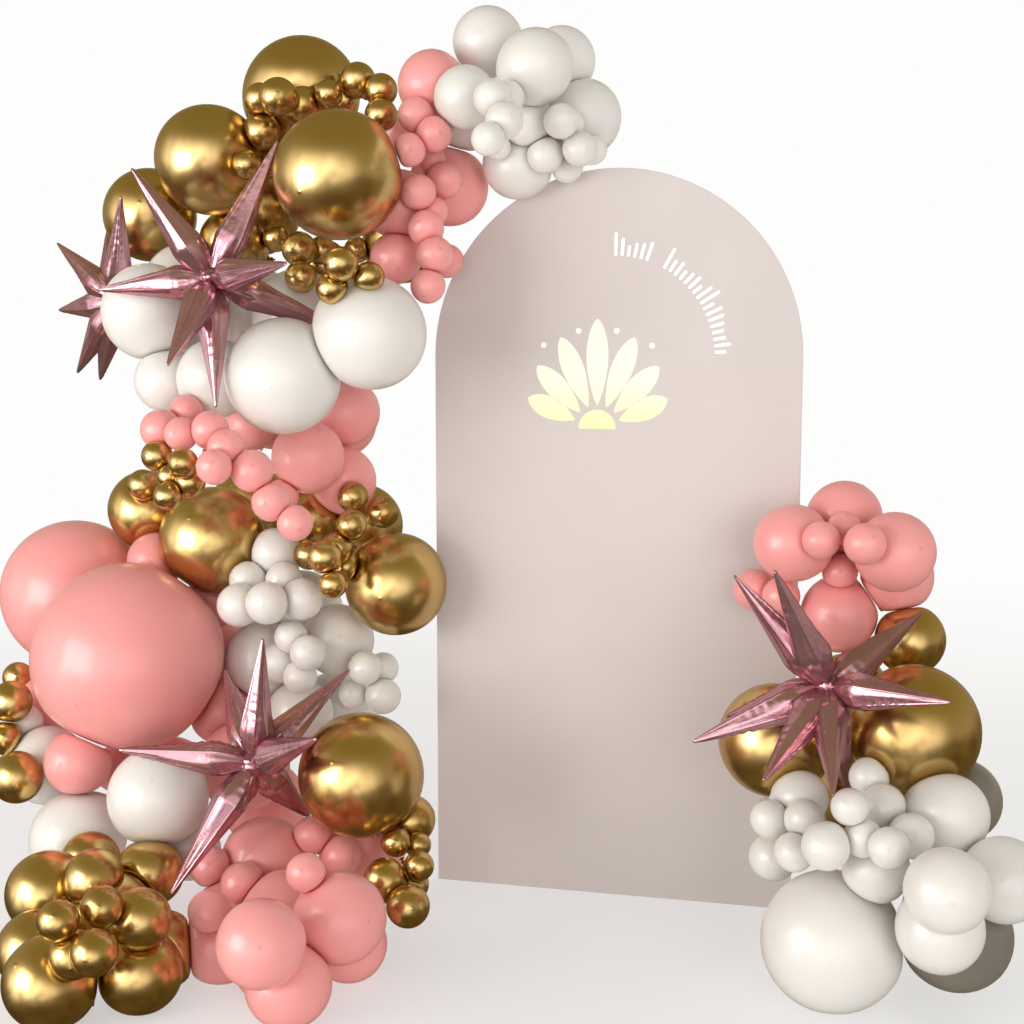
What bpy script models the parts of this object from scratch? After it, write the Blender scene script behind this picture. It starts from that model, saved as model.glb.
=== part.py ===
"""Free-standing balloon arch: a tall round-topped backboard, a garland of latex
balloons that climbs from the floor over the board's left shoulder to its top, a
lower garland at its right edge, and four foil burst stars.

Metres, +Z up.  The board stands in the XZ plane, its face towards -Y; the origin
is the middle of the board's underside, on the floor.

The garlands are set out on an elevation drawn in perspective from STATION: u runs
across the sheet, v down it, and a balloon's r is its radius on the sheet.  Each
balloon is carried along its sight line, away from the station, until it presses
on a balloon already hung, on the board, on the floor, or reaches the garland's
spine.  Layer 0 is hung first and the small balloons last.
"""
import math

import bmesh
import bpy
import numpy as np

# ---------------------------------------------------------------- dimensions
BOARD_WIDTH = 1.00
BOARD_HEIGHT = 2.00
BOARD_THICKNESS = 0.018
BOARD_ARC_STEPS = 28

STAR_REACH = 0.335          # core to tip of a foil star's spike
STAR_CORE = 0.046
SPIKE_RADIUS = 0.044
REAR_SPIKES = 3             # cones of each star that reach back between the balloons

GAP = 0.0003                # between neighbouring solids
PRESS = 0.89                # centre distance of two pressed balloons / sum of radii
MAX_BALLOON_NODES = 55

FOCAL = 1536.0              # sheet units
SHEET_CENTRE = 512.0
STATION = np.array((0.702, -4.107, 1.6))
HEADING = math.radians(13.5)
PITCH = math.radians(7.125)

COLOURS = {                 # base colour, metallic, roughness
    "white": ((0.86, 0.82, 0.76), 0.0, 0.32),
    "pink": ((0.87, 0.42, 0.39), 0.0, 0.30),
    "gold": ((0.55, 0.38, 0.12), 0.85, 0.25),
    "foil": ((0.62, 0.36, 0.36), 0.95, 0.20),
    "board": ((0.74, 0.66, 0.62), 0.0, 0.55),
}

# ---------------------------------------------------------------- the setting out
# group name, colour, balloons (u, v, r, layer)
SECTIONS = [
    ("white_top", "white", [
        (488, 42, 35, 1), (562, 60, 33, 0), (583, 118, 38, 1), (466, 120, 31, 0),
        (518, 164, 35, 0), (535, 67, 38, 2), (465, 97, 31, 2), (527, 120, 26, 1)]),
    ("white_top_beads_left", "white", [
        (508, 97, 17, 4), (492, 98, 19, 5), (504, 121, 19, 5), (488, 139, 17, 5), (498, 147, 13, 4)]),
    ("white_top_beads_right", "white", [
        (561, 121, 17.5, 5), (568, 124, 16, 4), (580, 149, 17.5, 5), (592, 150, 15, 4),
        (545, 155, 18, 5), (567, 167, 16, 3)]),
    ("pink_upper", "pink", [
        (432, 85, 34, 0), (449, 186, 39, 0), (400, 205, 35, 0), (396, 258, 26, 1), (398, 133, 22, 0)]),
    ("pink_upper_beads", "pink", [
        (416, 115, 18, 5), (434, 134, 18, 5), (409, 150, 17, 5), (433, 160, 13, 4),
        (445, 180, 18, 5), (418, 192, 18, 5)]),
    ("pink_hanging_beads", "pink", [
        (433, 212, 15, 4), (426, 228, 18, 4), (435, 255, 18.5, 5), (447, 261, 17, 4), (428, 286, 17.5, 5)]),
    ("gold_crown_back", "gold", [(302, 95, 57, 0)]),
    ("gold_crown_left", "gold", [(210, 160, 54, 1), (234, 243, 34, 0)]),
    ("gold_crown_right", "gold", [(338, 175, 64, 2)]),
    ("gold_shoulder", "gold", [(150, 215, 46, 0)]),
    ("gold_crown_beads_left", "gold", [
        (278, 97, 19.5, 5), (260, 99, 16, 4), (262, 131, 18.5, 5), (301, 105, 18, 4), (247, 165, 15, 4),
        (270, 158, 20, 0)]),
    ("gold_crown_beads_right", "gold", [
        (358, 80, 17.5, 5), (381, 90, 16.5, 5), (381, 115, 16.5, 5), (342, 100, 16, 4), (328, 94, 14, 4)]),
    ("gold_crown_beads_low", "gold", [
        (299, 249, 17.5, 5), (301, 277, 16, 5), (341, 264, 17.5, 5), (332, 288, 16.5, 4),
        (369, 277, 15.5, 5), (276, 238, 14, 4), (322, 250, 14, 4), (357, 250, 13, 4), (324, 264, 24, 1)]),
    ("white_shoulder_front", "white", [(283, 376, 58, 2)]),
    ("white_shoulder_right", "white", [(370, 333, 56, 2)]),
    ("white_shoulder_middle", "white", [(300, 318, 48, 1)]),
    ("white_shoulder_left", "white", [
        (150, 312, 48, 1), (187, 288, 43, 0), (167, 380, 32, 1), (216, 378, 39, 1), (206, 334, 28, 0)]),
    ("pink_band_beads", "pink", [
        (162, 430, 21, 3), (181, 434, 17, 4), (210, 430, 19, 4), (226, 448, 19, 5),
        (214, 467, 18, 5), (250, 425, 25, 0), (252, 471, 21.5, 5), (187, 411, 17, 1)]),
    ("pink_band", "pink", [(308, 457, 36, 2), (345, 412, 34, 1), (343, 480, 33, 1)]),
    ("pink_band_beads_low", "pink", [(271, 502, 19.5, 5), (282, 496, 17, 4), (295, 523, 18, 5)]),
    ("gold_band_left", "gold", [(148, 510, 39, 0)]),
    ("gold_band_middle", "gold", [(213, 540, 53, 2)]),
    ("gold_band_back", "gold", [(310, 520, 30, 0)]),
    ("gold_band_right", "gold", [(396, 584, 51, 2)]),
    ("gold_band_beads_left", "gold", [
        (157, 456, 15.5, 4), (183, 463, 15, 5), (170, 476, 13, 4), (190, 482, 15.5, 4),
        (168, 496, 14.5, 5), (143, 485, 15.5, 5)]),
    ("gold_band_beads_right", "gold", [
        (353, 497, 15.5, 5), (383, 512, 16, 5), (352, 525, 15.5, 5), (337, 548, 16, 4),
        (325, 557, 17.5, 5), (333, 584, 14.5, 5), (309, 555, 15, 4), (345, 566, 15, 2)]),
    ("white_band_beads", "white", [
        (276, 554, 26, 3), (248, 580, 19, 4), (284, 580, 18.5, 4), (302, 599, 21, 4),
        (239, 605, 22, 4), (267, 603, 21.5, 5)]),
    ("white_band", "white", [
        (291, 637, 16.5, 5), (308, 653, 18, 5), (281, 662, 21, 4), (300, 677, 17, 4),
        (338, 640, 36, 2), (264, 660, 39, 1), (300, 713, 33, 1)]),
    ("white_band_beads_right", "white", [
        (365, 668, 17, 5), (383, 668, 15.5, 4), (383, 696, 18, 5), (353, 694, 14.5, 4)]),
    ("pink_giant_back", "pink", [(77, 594, 73, 0)]),
    ("pink_giant_front", "pink", [(128, 657, 94, 2)]),
    ("pink_under_giant", "pink", [
        (48, 705, 30, 0), (78, 762, 33, 2), (118, 768, 24, 1), (222, 712, 32, 0), (244, 766, 45, 0),
        (156, 560, 28, 0), (214, 600, 28, 0)]),
    ("gold_left_edge", "gold", [(18, 677, 15, 3), (11, 702, 21, 3), (5, 738, 17, 2), (17, 777, 26, 2)]),
    ("white_left_edge", "white", [(25, 722, 18, 1), (47, 765, 39, 1)]),
    ("white_low", "white", [(158, 797, 50, 1), (78, 838, 47, 0), (190, 850, 30, 0)]),
    ("gold_low", "gold", [(361, 775, 62, 2)]),
    ("gold_low_beads", "gold", [
        (410, 820, 25, 0), (396, 842, 15, 4), (419, 866, 15, 4), (385, 880, 22, 2), (408, 906, 22, 2),
        (418, 845, 13, 2), (412, 884, 17, 1)]),
    ("pink_foot_back", "pink", [(266, 863, 45, 1), (349, 944, 38, 0), (220, 943, 40, 1), (288, 985, 43, 1)]),
    ("pink_foot_right", "pink", [(340, 918, 46, 2)]),
    ("pink_foot_front", "pink", [(261, 944, 45, 3)]),
    ("pink_foot_beads", "pink", [
        (312, 835, 19, 4), (341, 856, 20, 5), (306, 873, 20, 5), (211, 867, 20.5, 4),
        (243, 884, 22.5, 5), (209, 911, 21, 5)]),
    ("gold_foot_back", "gold", [(49, 893, 42, 1), (50, 982, 47, 0), (140, 972, 42, 0), (90, 862, 30, 0)]),
    ("gold_foot_front", "gold", [
        (150, 872, 34, 1), (94, 879, 30, 2), (102, 907, 21.5, 5), (58, 921, 21, 5),
        (140, 919, 31, 3), (94, 953, 24, 5), (73, 955, 25, 4)]),
    ("pink_column_back", "pink", [(844, 519, 38, 0), (897, 577, 36, 0)]),
    ("pink_column_left", "pink", [(793, 543, 38.5, 1)]),
    ("pink_column_right", "pink", [(895, 552, 40, 1)]),
    ("pink_column_low", "pink", [(839, 614, 38, 2), (781, 596, 19, 3), (755, 590, 21, 1)]),
    ("pink_column_beads", "pink", [(844, 528, 17, 3), (821, 540, 19, 4), (865, 544, 21, 5), (840, 571, 18, 5)]),
    ("gold_column_top", "gold", [(910, 640, 35, 1)]),
    ("gold_column_right", "gold", [(914, 731, 65, 2)]),
    ("gold_column_left", "gold", [(775, 740, 56, 1), (838, 748, 30, 0)]),
    ("white_column_right", "white", [
        (961, 800, 40, 0), (946, 815, 42, 2), (947, 891, 43, 3), (1003, 880, 43, 1), (940, 929, 44, 1)]),
    ("white_column_back", "white", [(955, 934, 56, 0)]),
    ("white_column_front", "white", [(832, 941, 70, 2)]),
    ("white_column_middle", "white", [(876, 869, 34, 3)]),
    ("white_column_beads", "white", [
        (869, 777, 20, 4), (850, 807, 19, 6), (883, 806, 22.5, 4),
        (863, 838, 20, 5), (889, 848, 21, 5), (911, 836, 23, 4)]),
    ("white_column_beads_left", "white", [
        (800, 798, 28, 3), (770, 819, 19.5, 5), (804, 819, 20, 5), (773, 857, 24, 4),
        (794, 852, 20, 5), (826, 846, 24.5, 5)]),
]

# plainer balloons that close the back of the garlands, each in the colour of the
# balloon it is pushed against: (x, z, radius)
BACKING = [
    (-0.64, 1.82, 0.115), (-0.86, 2.00, 0.135), (-1.12, 1.92, 0.125), (-1.10, 1.62, 0.135),
    (-0.80, 1.60, 0.125), (-1.08, 1.34, 0.125), (-0.86, 1.30, 0.105), (-1.12, 1.04, 0.125),
    (-0.78, 1.00, 0.120), (-0.95, 0.74, 0.125), (-1.25, 0.58, 0.150), (-0.82, 0.46, 0.120),
    (-1.30, 0.26, 0.125), (-1.00, 0.21, 0.120), (-0.62, 0.19, 0.115), (0.64, 0.62, 0.110),
    (0.68, 0.36, 0.120),
]

# balloons inside the foot of the left garland, resting on the floor: (x, y, radius)
FOOT_FILLING = [
    (-0.72, -0.64, 0.115), (-0.88, -0.58, 0.095), (-1.14, -0.74, 0.115), (-0.66, -0.86, 0.095),
    (-0.95, -0.86, 0.095), (-1.24, -0.93, 0.095),
]

SPINE_LEFT = [(0, -0.02), (200, -0.02), (450, -0.05), (600, -0.10), (780, -0.32), (900, -0.55), (1024, -0.66)]
SPINE_RIGHT = [(480, -0.05), (600, -0.08), (740, -0.17), (820, -0.34), (900, -0.50), (1024, -0.66)]
SPINE_SET_BACK = 0.10       # the left garland, clear of the board's edge, sits further back

# foil stars: centre (u, v), core depth or None, tips (u, v, lean): lean +1 points
# towards the station, -1 away, 0 either way
STARS = [
    ("star_upper_back", (116, 301), 4.43, [
        (57, 243, 0), (59, 310, 0), (77, 373, 0), (121, 196, 0), (108, 229, -1), (100, 380, -1)]),
    ("star_upper", (212, 279), None, [
        (131, 168, 0), (144, 180, -1), (278, 140, 0), (287, 263, 1), (96, 290, 0),
        (349, 331, 0), (216, 408, 0), (167, 366, 1)]),
    ("star_middle", (254, 763), None, [
        (263, 638, 0), (225, 670, -1), (350, 669, -1), (317, 739, 1), (118, 750, 0),
        (170, 895, 0), (206, 846, -1), (310, 817, -1)]),
    ("star_column", (828, 688), None, [
        (734, 575, 0), (774, 570, 0), (923, 611, 0), (951, 702, 1), (692, 742, 0),
        (726, 717, -1), (763, 781, 1), (833, 797, 0), (847, 791, -1)]),
]

RIGHT = np.array((math.cos(HEADING), math.sin(HEADING), 0.0))
LEVEL = np.array((-math.sin(HEADING), math.cos(HEADING), 0.0))
FORWARD = LEVEL * math.cos(PITCH) - np.array((0.0, 0.0, math.sin(PITCH)))
UP = LEVEL * math.sin(PITCH) + np.array((0.0, 0.0, math.cos(PITCH)))


# ---------------------------------------------------------------- placing
def along(table, v):
    return float(np.interp(v, [a for a, _ in table], [b for _, b in table]))


def at(u, v, depth):
    """The point on the sight line of sheet position (u, v) at a depth from the station."""
    ray = FORWARD + RIGHT * ((u - SHEET_CENTRE) / FOCAL) - UP * ((v - SHEET_CENTRE) / FOCAL)
    return STATION + ray * depth


def nearest_on_board(p):
    x, y, z = p
    spring = BOARD_HEIGHT - BOARD_WIDTH / 2
    ny = min(max(y, -BOARD_THICKNESS / 2), BOARD_THICKNESS / 2)
    if z <= spring:
        return np.array((min(max(x, -BOARD_WIDTH / 2), BOARD_WIDTH / 2), ny, max(z, 0.0)))
    reach = math.hypot(x, z - spring)
    s = min(1.0, (BOARD_WIDTH / 2) / reach) if reach > 0 else 1.0
    return np.array((x * s, ny, spring + (z - spring) * s))


def presses(c, r, centres, radii):
    """What a balloon at c presses on: -2 nothing, -1 the floor or the board, or the
    place of a hung balloon."""
    if c[2] <= r * 0.985:
        return -1
    if np.linalg.norm(c - nearest_on_board(c)) <= r * 0.95:
        return -1
    if len(radii):
        over = np.linalg.norm(centres - c, axis=1) - PRESS * (radii + r)
        k = int(np.argmin(over))
        if over[k] <= 0.0:
            return k
    return -2


def hang_balloons():
    order = []
    for g, (group, colour, items) in enumerate(SECTIONS):
        for k, (u, v, r, layer) in enumerate(items):
            order.append((layer, g, k, group, colour, u, v, r))
    order.sort()
    hung = []
    centres, radii = np.zeros((0, 3)), np.zeros(0)
    for layer, g, k, group, colour, u, v, r in order:
        if u < 640:
            limit = along(SPINE_LEFT, v) + (SPINE_SET_BACK if u < 430 and v < 800 else 0.0)
        else:
            limit = along(SPINE_RIGHT, v)
        depth = 2.7
        while True:
            c = at(u, v, depth)
            if c[1] >= limit or presses(c, r * depth / FOCAL, centres, radii) > -2:
                break
            depth += 0.006
        hung.append(dict(name="%s_%d" % (group, k + 1), group=group, colour=colour, c=c,
                         r=r * depth / FOCAL, sheet=r, depth=depth, layer=layer))
        centres = np.vstack((centres, c))
        radii = np.append(radii, r * depth / FOCAL)
    for k, (x, z, r) in enumerate(BACKING):
        y = 0.7
        while True:
            c = np.array((x, y, z))
            touch = presses(c, r, centres, radii)
            if touch > -2 or y < -0.9:
                break
            y -= 0.006
        host = hung[max(touch, 0)]
        hung.append(dict(name="backing_%d" % (k + 1), group=host["group"], colour=host["colour"], c=c,
                         r=r, sheet=30.0, depth=4.2, layer=6))
        centres = np.vstack((centres, c))
        radii = np.append(radii, r)
    for k, (x, y, r) in enumerate(FOOT_FILLING):
        c = np.array((x, y, r * 0.985))
        host = hung[int(np.argmin(np.linalg.norm(centres - c, axis=1) - radii))]
        hung.append(dict(name="filling_%d" % (k + 1), group=host["group"], colour=host["colour"], c=c,
                         r=r, sheet=30.0, depth=4.0, layer=7))
    return hung


# ---------------------------------------------------------------- balloon solids
def sphere_points(step, seed):
    """Points of a ball of radius 1: a divided icosahedron, or a divided octahedron for
    step 1, turned by an angle that depends on the seed."""
    bm = bmesh.new()
    if step == 1:
        base = [(1, 0, 0), (-1, 0, 0), (0, 1, 0), (0, -1, 0), (0, 0, 1), (0, 0, -1)]
        pts = [np.array(b, float) for b in base]
        for i in range(6):
            for j in range(i + 1, 6):
                m = np.array(base[i], float) + np.array(base[j], float)
                if np.linalg.norm(m) > 0.5:
                    pts.append(m / np.linalg.norm(m))
    elif step == 3:
        bmesh.ops.create_icosphere(bm, subdivisions=1, radius=1.0)
        bm.verts.ensure_lookup_table()
        pts = []
        for f in bm.faces:
            a, b, c = (np.array(w.co) for w in f.verts)
            for i in range(4):
                for j in range(4 - i):
                    q = (a * i + b * j + c * (3 - i - j)) / 3.0
                    q = q / np.linalg.norm(q)
                    if all(np.linalg.norm(q - o) > 0.05 for o in pts):
                        pts.append(q)
    else:
        bmesh.ops.create_icosphere(bm, subdivisions=step, radius=1.0)
        pts = [np.array(w.co) for w in bm.verts]
        pts = [q / np.linalg.norm(q) for q in pts]
    bm.free()
    a, b = 2.399963 * seed, 1.1 + 1.618034 * seed
    ca, sa, cb, sb = math.cos(a), math.sin(a), math.cos(b), math.sin(b)
    turn = np.array(((ca, -sa, 0), (sa, ca, 0), (0, 0, 1.0))) @ np.array(((1.0, 0, 0), (0, cb, -sb), (0, sb, cb)))
    return [turn @ q for q in pts]


def detail(ball):
    if ball["sheet"] > 80:
        return 3, 1.012
    if ball["sheet"] >= 37:
        return 2, 1.028
    return 1, 1.07


def ring_around(centre, normal, radius, count):
    side = np.cross(normal, (0.0, 0.0, 1.0))
    if np.linalg.norm(side) < 0.2:
        side = np.cross(normal, (0.0, 1.0, 0.0))
    side = side / np.linalg.norm(side)
    other = np.cross(normal, side)
    return [centre + radius * (math.cos(t) * side + math.sin(t) * other)
            for t in (2 * math.pi * k / count for k in range(count))]


def hull_faces(points):
    """Triangles, as index triples wound outwards, of the convex hull of the points."""
    bm = bmesh.new()
    verts = [bm.verts.new(p) for p in points]
    index = {v: i for i, v in enumerate(verts)}
    bmesh.ops.convex_hull(bm, input=verts)
    middle = sum(points) / len(points)
    faces = []
    for f in bm.faces:
        tri = [index[v] for v in f.verts]
        a, b, c = (points[i] for i in tri)
        if np.dot(np.cross(b - a, c - a), a - middle) < 0:
            tri.reverse()
        faces.append(tuple(tri))
    bm.free()
    return faces


def build_balloons(hung):
    n = len(hung)
    for b in hung:
        b["step"], b["swell"] = detail(b)
        b["R"] = b["r"] * b["swell"]
    # planes[i]: (normal, offset from centre) of every face pressed on ball i
    planes = [dict() for _ in range(n)]
    rings = {}
    for i in range(n):
        for j in range(i + 1, n):
            a, b = hung[i], hung[j]
            way = b["c"] - a["c"]
            dist = float(np.linalg.norm(way))
            if dist >= a["R"] + b["R"] + 0.001:
                continue
            way = way / dist
            near = (dist * dist + a["R"] ** 2 - b["R"] ** 2) / (2 * dist)
            near = min(max(near, 0.25 * a["R"]), dist - 0.25 * b["R"])
            planes[i][j] = (way, near)
            planes[j][i] = (-way, dist - near)
            radius = math.sqrt(max(a["R"] ** 2 - near ** 2, 0.0))
            radius = min(radius, math.sqrt(max(b["R"] ** 2 - (dist - near) ** 2, 0.0)))
            if radius > 0.004:
                count = 6 if min(a["step"], b["step"]) >= 3 else (5 if max(a["step"], b["step"]) >= 2 else 4)
                rings[(i, j)] = ring_around(a["c"] + way * near, way, radius * 0.985, count)
    for i, b in enumerate(hung):
        if b["c"][2] < b["R"] + 0.001:
            planes[i]["floor"] = (np.array((0.0, 0.0, -1.0)), float(b["c"][2]))
        q = nearest_on_board(b["c"])
        away = float(np.linalg.norm(q - b["c"]))
        if away < b["R"] + 0.001:
            planes[i]["board"] = ((q - b["c"]) / away, away - GAP)

    def clear(i, p, skip, slack):
        c = hung[i]["c"]
        return all(k in skip or np.dot(p - c, w) < d - slack for k, (w, d) in planes[i].items())

    # which pairs are joined: same group and colour, with a sound shared face
    shared = {}
    for (i, j), ring in rings.items():
        if hung[i]["colour"] != hung[j]["colour"]:
            continue
        slack = 0.02 * min(hung[i]["R"], hung[j]["R"])
        keep = [k for k, p in enumerate(ring) if clear(i, p, (j,), slack) and clear(j, p, (i,), slack)]
        if len(keep) >= 3:
            shared[(i, j)] = keep

    label = list(range(n))

    def root(i):
        while label[i] != i:
            i = label[i]
        return i

    for (i, j) in sorted(shared):
        if hung[i]["group"] == hung[j]["group"]:
            label[root(i)] = root(j)

    def lumps():
        out = {}
        for i in range(n):
            out.setdefault(root(i), []).append(i)
        return out

    left_out = set()
    while True:
        now = lumps()
        live = {k: m for k, m in now.items() if k not in left_out}
        if len(live) <= MAX_BALLOON_NODES:
            break
        bulk = {k: sum(hung[i]["r"] ** 3 for i in m) for k, m in live.items()}
        best = None
        for (i, j) in sorted(shared):
            ri, rj = root(i), root(j)
            if ri == rj or ri not in live or rj not in live:
                continue
            if len(live[ri]) + len(live[rj]) > 15:
                continue
            small, large = (ri, rj) if bulk[ri] < bulk[rj] else (rj, ri)
            score = (bulk[small], bulk[large])
            if best is None or score < best[0]:
                best = (score, small, large)
        if best is None:
            left_out.add(min(live, key=lambda q: (bulk[q], q)))
        else:
            label[best[1]] = best[2]

    node_of = [root(i) for i in range(n)]
    live = {k: m for k, m in lumps().items() if k not in left_out}
    names, used = {}, set()
    for k, members in sorted(live.items(), key=lambda t: (-sum(hung[i]["r"] ** 3 for i in t[1]), t[0])):
        big = max(members, key=lambda i: (hung[i]["r"], -i))
        name = hung[big]["group"]
        if name in used:
            name = next(name + "_" + s for s in "bcdefghijkl" if name + "_" + s not in used)
        used.add(name)
        names[k] = name

    solids = []
    for k in sorted(live, key=lambda q: names[q]):
        members = live[k]
        keys, coords, faces = {}, [], []

        def vertex(key, p):
            if key not in keys:
                keys[key] = len(coords)
                coords.append(p)
            return keys[key]

        for i in members:
            b = hung[i]
            joined = {}
            for (p, q), keep in shared.items():
                if i in (p, q):
                    other = q if i == p else p
                    if node_of[other] == k:
                        joined[other] = ((p, q), keep)
            pts, tags = [], []
            margin = 0.13 * b["R"] if b["step"] == 2 else (0.09 if b["step"] == 3 else 0.18) * b["R"]
            for s, d in enumerate(sphere_points(b["step"], i)):
                p = b["c"] + d * b["R"]
                if clear(i, p, (), margin):
                    pts.append(p)
                    tags.append(("s", i, s))
            for j, (w, d) in planes[i].items():
                if j in joined:
                    pair, keep = joined[j]
                    for m in keep:
                        pts.append(rings[pair][m])
                        tags.append(("m",) + pair + (m,))
                    continue
                if isinstance(j, str):
                    radius = math.sqrt(max(b["R"] ** 2 - d * d, 0.0))
                    if radius < 0.004:
                        continue
                    ring = ring_around(b["c"] + w * d, w, radius * 0.985, 6)
                else:
                    pair = (min(i, j), max(i, j))
                    if pair not in rings:
                        continue
                    ring = [p - w * (GAP / 2) for p in rings[pair]]
                for m, p in enumerate(ring):
                    if clear(i, p, (j,), 0.02 * b["R"]):
                        pts.append(p)
                        tags.append(("r", i, j, m))
            for tri in hull_faces(pts):
                t = [tags[a] for a in tri]
                if all(x[0] == "m" for x in t) and len({x[1:3] for x in t}) == 1:
                    continue
                faces.append(tuple(vertex(tags[a], pts[a]) for a in tri))
        solids.append((names[k], hung[members[0]]["colour"], coords, faces, members))
    return solids, left_out


# ---------------------------------------------------------------- foil stars
def spike_radius(t, length):
    """Radius of a spike at the fraction t of its length, measured from the star's middle."""
    widest = SPIKE_RADIUS * min(1.0, length / STAR_REACH + 0.12)
    if t < 0.30:
        return widest * (0.50 + 0.50 * (t / 0.30))
    return widest * (1.0 - 0.93 * ((t - 0.30) / 0.70))


def clearance(core, tip, centres, radii):
    """Least distance between a spike's skin and the balloons round it."""
    length = float(np.linalg.norm(tip - core))
    steps = [k / 24.0 for k in range(3, 25)]
    points = np.array([core + (tip - core) * t for t in steps])
    skin = np.array([spike_radius(t, length) for t in steps])
    free = np.linalg.norm(points[:, None, :] - centres[None, :, :], axis=2) - radii[None, :] - skin[:, None]
    return float(free.min())


def solve_star(name, centre, depth, tips, hung):
    """Core position and spike tips of one star: the core is carried back until it rests
    on the balloons, then each spike keeps its place on the sheet and leans forwards or
    back so that it clears them."""
    centres = np.array([b["c"] for b in hung])
    radii = np.array([b["R"] for b in hung])
    if depth is None:
        depth = 2.7
        while True:
            p = at(centre[0], centre[1], depth)
            if (np.linalg.norm(centres - p, axis=1) - radii).min() < STAR_CORE + 0.012:
                break
            depth += 0.006
    best_star = None
    for pull in range(12):
        d0 = depth - 0.022 * pull
        core = at(centre[0], centre[1], d0)
        near = np.linalg.norm(centres - core, axis=1) < radii + STAR_REACH * 1.4
        found, total = [], 0.010 * pull
        for (tu, tv, lean) in tips:
            best = None
            for share in (1.0, 0.92, 0.84, 0.76, 0.68, 0.6):
                u = centre[0] + (tu - centre[0]) * share
                v = centre[1] + (tv - centre[1]) * share
                for k in range(-14, 15):
                    tip = at(u, v, d0 + 0.02 * k)
                    length = float(np.linalg.norm(tip - core))
                    if length > STAR_REACH * 1.2 or length < 0.10:
                        continue
                    free = clearance(core, tip, centres[near], radii[near])
                    if free < 0.003:
                        continue
                    cost = abs(length - STAR_REACH * share) + 1.5 * (1.0 - share)
                    if lean and (lean > 0) != (k < 0):
                        cost += 0.08
                    if lean == 0:
                        cost += 0.003 * abs(k)
                    if best is None or cost < best[0]:
                        best = (cost, tip, free)
                if best is not None:
                    break
            if best is None:
                total += 1.0
                continue
            total += best[0]
            found.append(best)
        if best_star is None or total < best_star[0]:
            best_star = (total, core, found, near)
    core, found, near = best_star[1:]
    cones = [(tip, free) for _, tip, free in found]
    return core, cones + rear_cones(core, [tip for tip, free in cones], centres[near], radii[near])


def rear_cones(core, tips, centres, radii):
    """Further cones that point away from the station, as long as the balloons allow and
    well apart from the cones that are there."""
    taken = [(tip - core) / np.linalg.norm(tip - core) for tip in tips]
    rows = []
    for i in range(90):
        z = 1.0 - 2.0 * (i + 0.5) / 90
        t = 2.399963 * i
        way = np.array((math.cos(t) * math.sqrt(1 - z * z), math.sin(t) * math.sqrt(1 - z * z), z))
        if float(way @ FORWARD) < 0.30:
            continue
        for share in (1.0, 0.9, 0.8, 0.7, 0.6, 0.5, 0.42):
            tip = core + way * STAR_REACH * share
            free = clearance(core, tip, centres, radii)
            if free >= 0.003:
                rows.append((-share, i, way, tip, free))
                break
    rows.sort(key=lambda row: row[:2])
    out = []
    for _, _, way, tip, free in rows:
        if len(out) < REAR_SPIKES and all(float(way @ other) < 0.62 for other in taken):
            taken.append(way)
            out.append((tip, free))
    return out


def spike_mesh(core, tip, sides=5):
    way = tip - core
    length = float(np.linalg.norm(way))
    n = way / length
    points = []
    for t in (0.10, 0.30):
        points += ring_around(core + way * t, n, spike_radius(t, length), sides)
    points.append(tip)
    faces = hull_faces(points)
    return points, faces


def mesh_object(name, coords, faces):
    mesh = bpy.data.meshes.new(name)
    mesh.from_pydata([tuple(float(x) for x in p) for p in coords], [], faces)
    mesh.update()
    obj = bpy.data.objects.new(name, mesh)
    bpy.context.scene.collection.objects.link(obj)
    return obj


def join_spikes(name, core, tips):
    bm = bmesh.new()
    bmesh.ops.create_icosphere(bm, subdivisions=1, radius=STAR_CORE)
    bmesh.ops.translate(bm, verts=bm.verts, vec=tuple(core))
    mesh = bpy.data.meshes.new(name)
    bm.to_mesh(mesh)
    bm.free()
    star = bpy.data.objects.new(name, mesh)
    bpy.context.scene.collection.objects.link(star)
    for k, tip in enumerate(tips):
        points, faces = spike_mesh(core, tip)
        spike = mesh_object("%s_spike_guide_%d" % (name, k + 1), points, faces)
        union = star.modifiers.new("spike_%d" % (k + 1), "BOOLEAN")
        union.operation = "UNION"
        union.solver = "EXACT"
        union.object = spike
        graph = bpy.context.evaluated_depsgraph_get()
        joined = bpy.data.meshes.new_from_object(star.evaluated_get(graph))
        star.modifiers.remove(union)
        star.data = joined
        bpy.data.objects.remove(spike)
    keep_outer_shell(star.data)
    return star


def keep_outer_shell(mesh):
    """Fill the small hollows that the cones can close off next to the core."""
    bm = bmesh.new()
    bm.from_mesh(mesh)
    shells, waiting = [], set(bm.verts)
    while waiting:
        front, shell = [waiting.pop()], []
        while front:
            v = front.pop()
            shell.append(v)
            for e in v.link_edges:
                w = e.other_vert(v)
                if w in waiting:
                    waiting.remove(w)
                    front.append(w)
        shells.append(shell)
    shells.sort(key=len)
    for shell in shells[:-1]:
        bmesh.ops.delete(bm, geom=shell, context="VERTS")
    bm.to_mesh(mesh)
    bm.free()


# ---------------------------------------------------------------- the board
def board_outline():
    half = BOARD_WIDTH / 2
    spring = BOARD_HEIGHT - half
    pts = [(-half, 0.0), (half, 0.0)]
    for k in range(BOARD_ARC_STEPS + 1):
        a = math.pi * k / BOARD_ARC_STEPS
        pts.append((half * math.cos(a), spring + half * math.sin(a)))
    return pts


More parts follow.
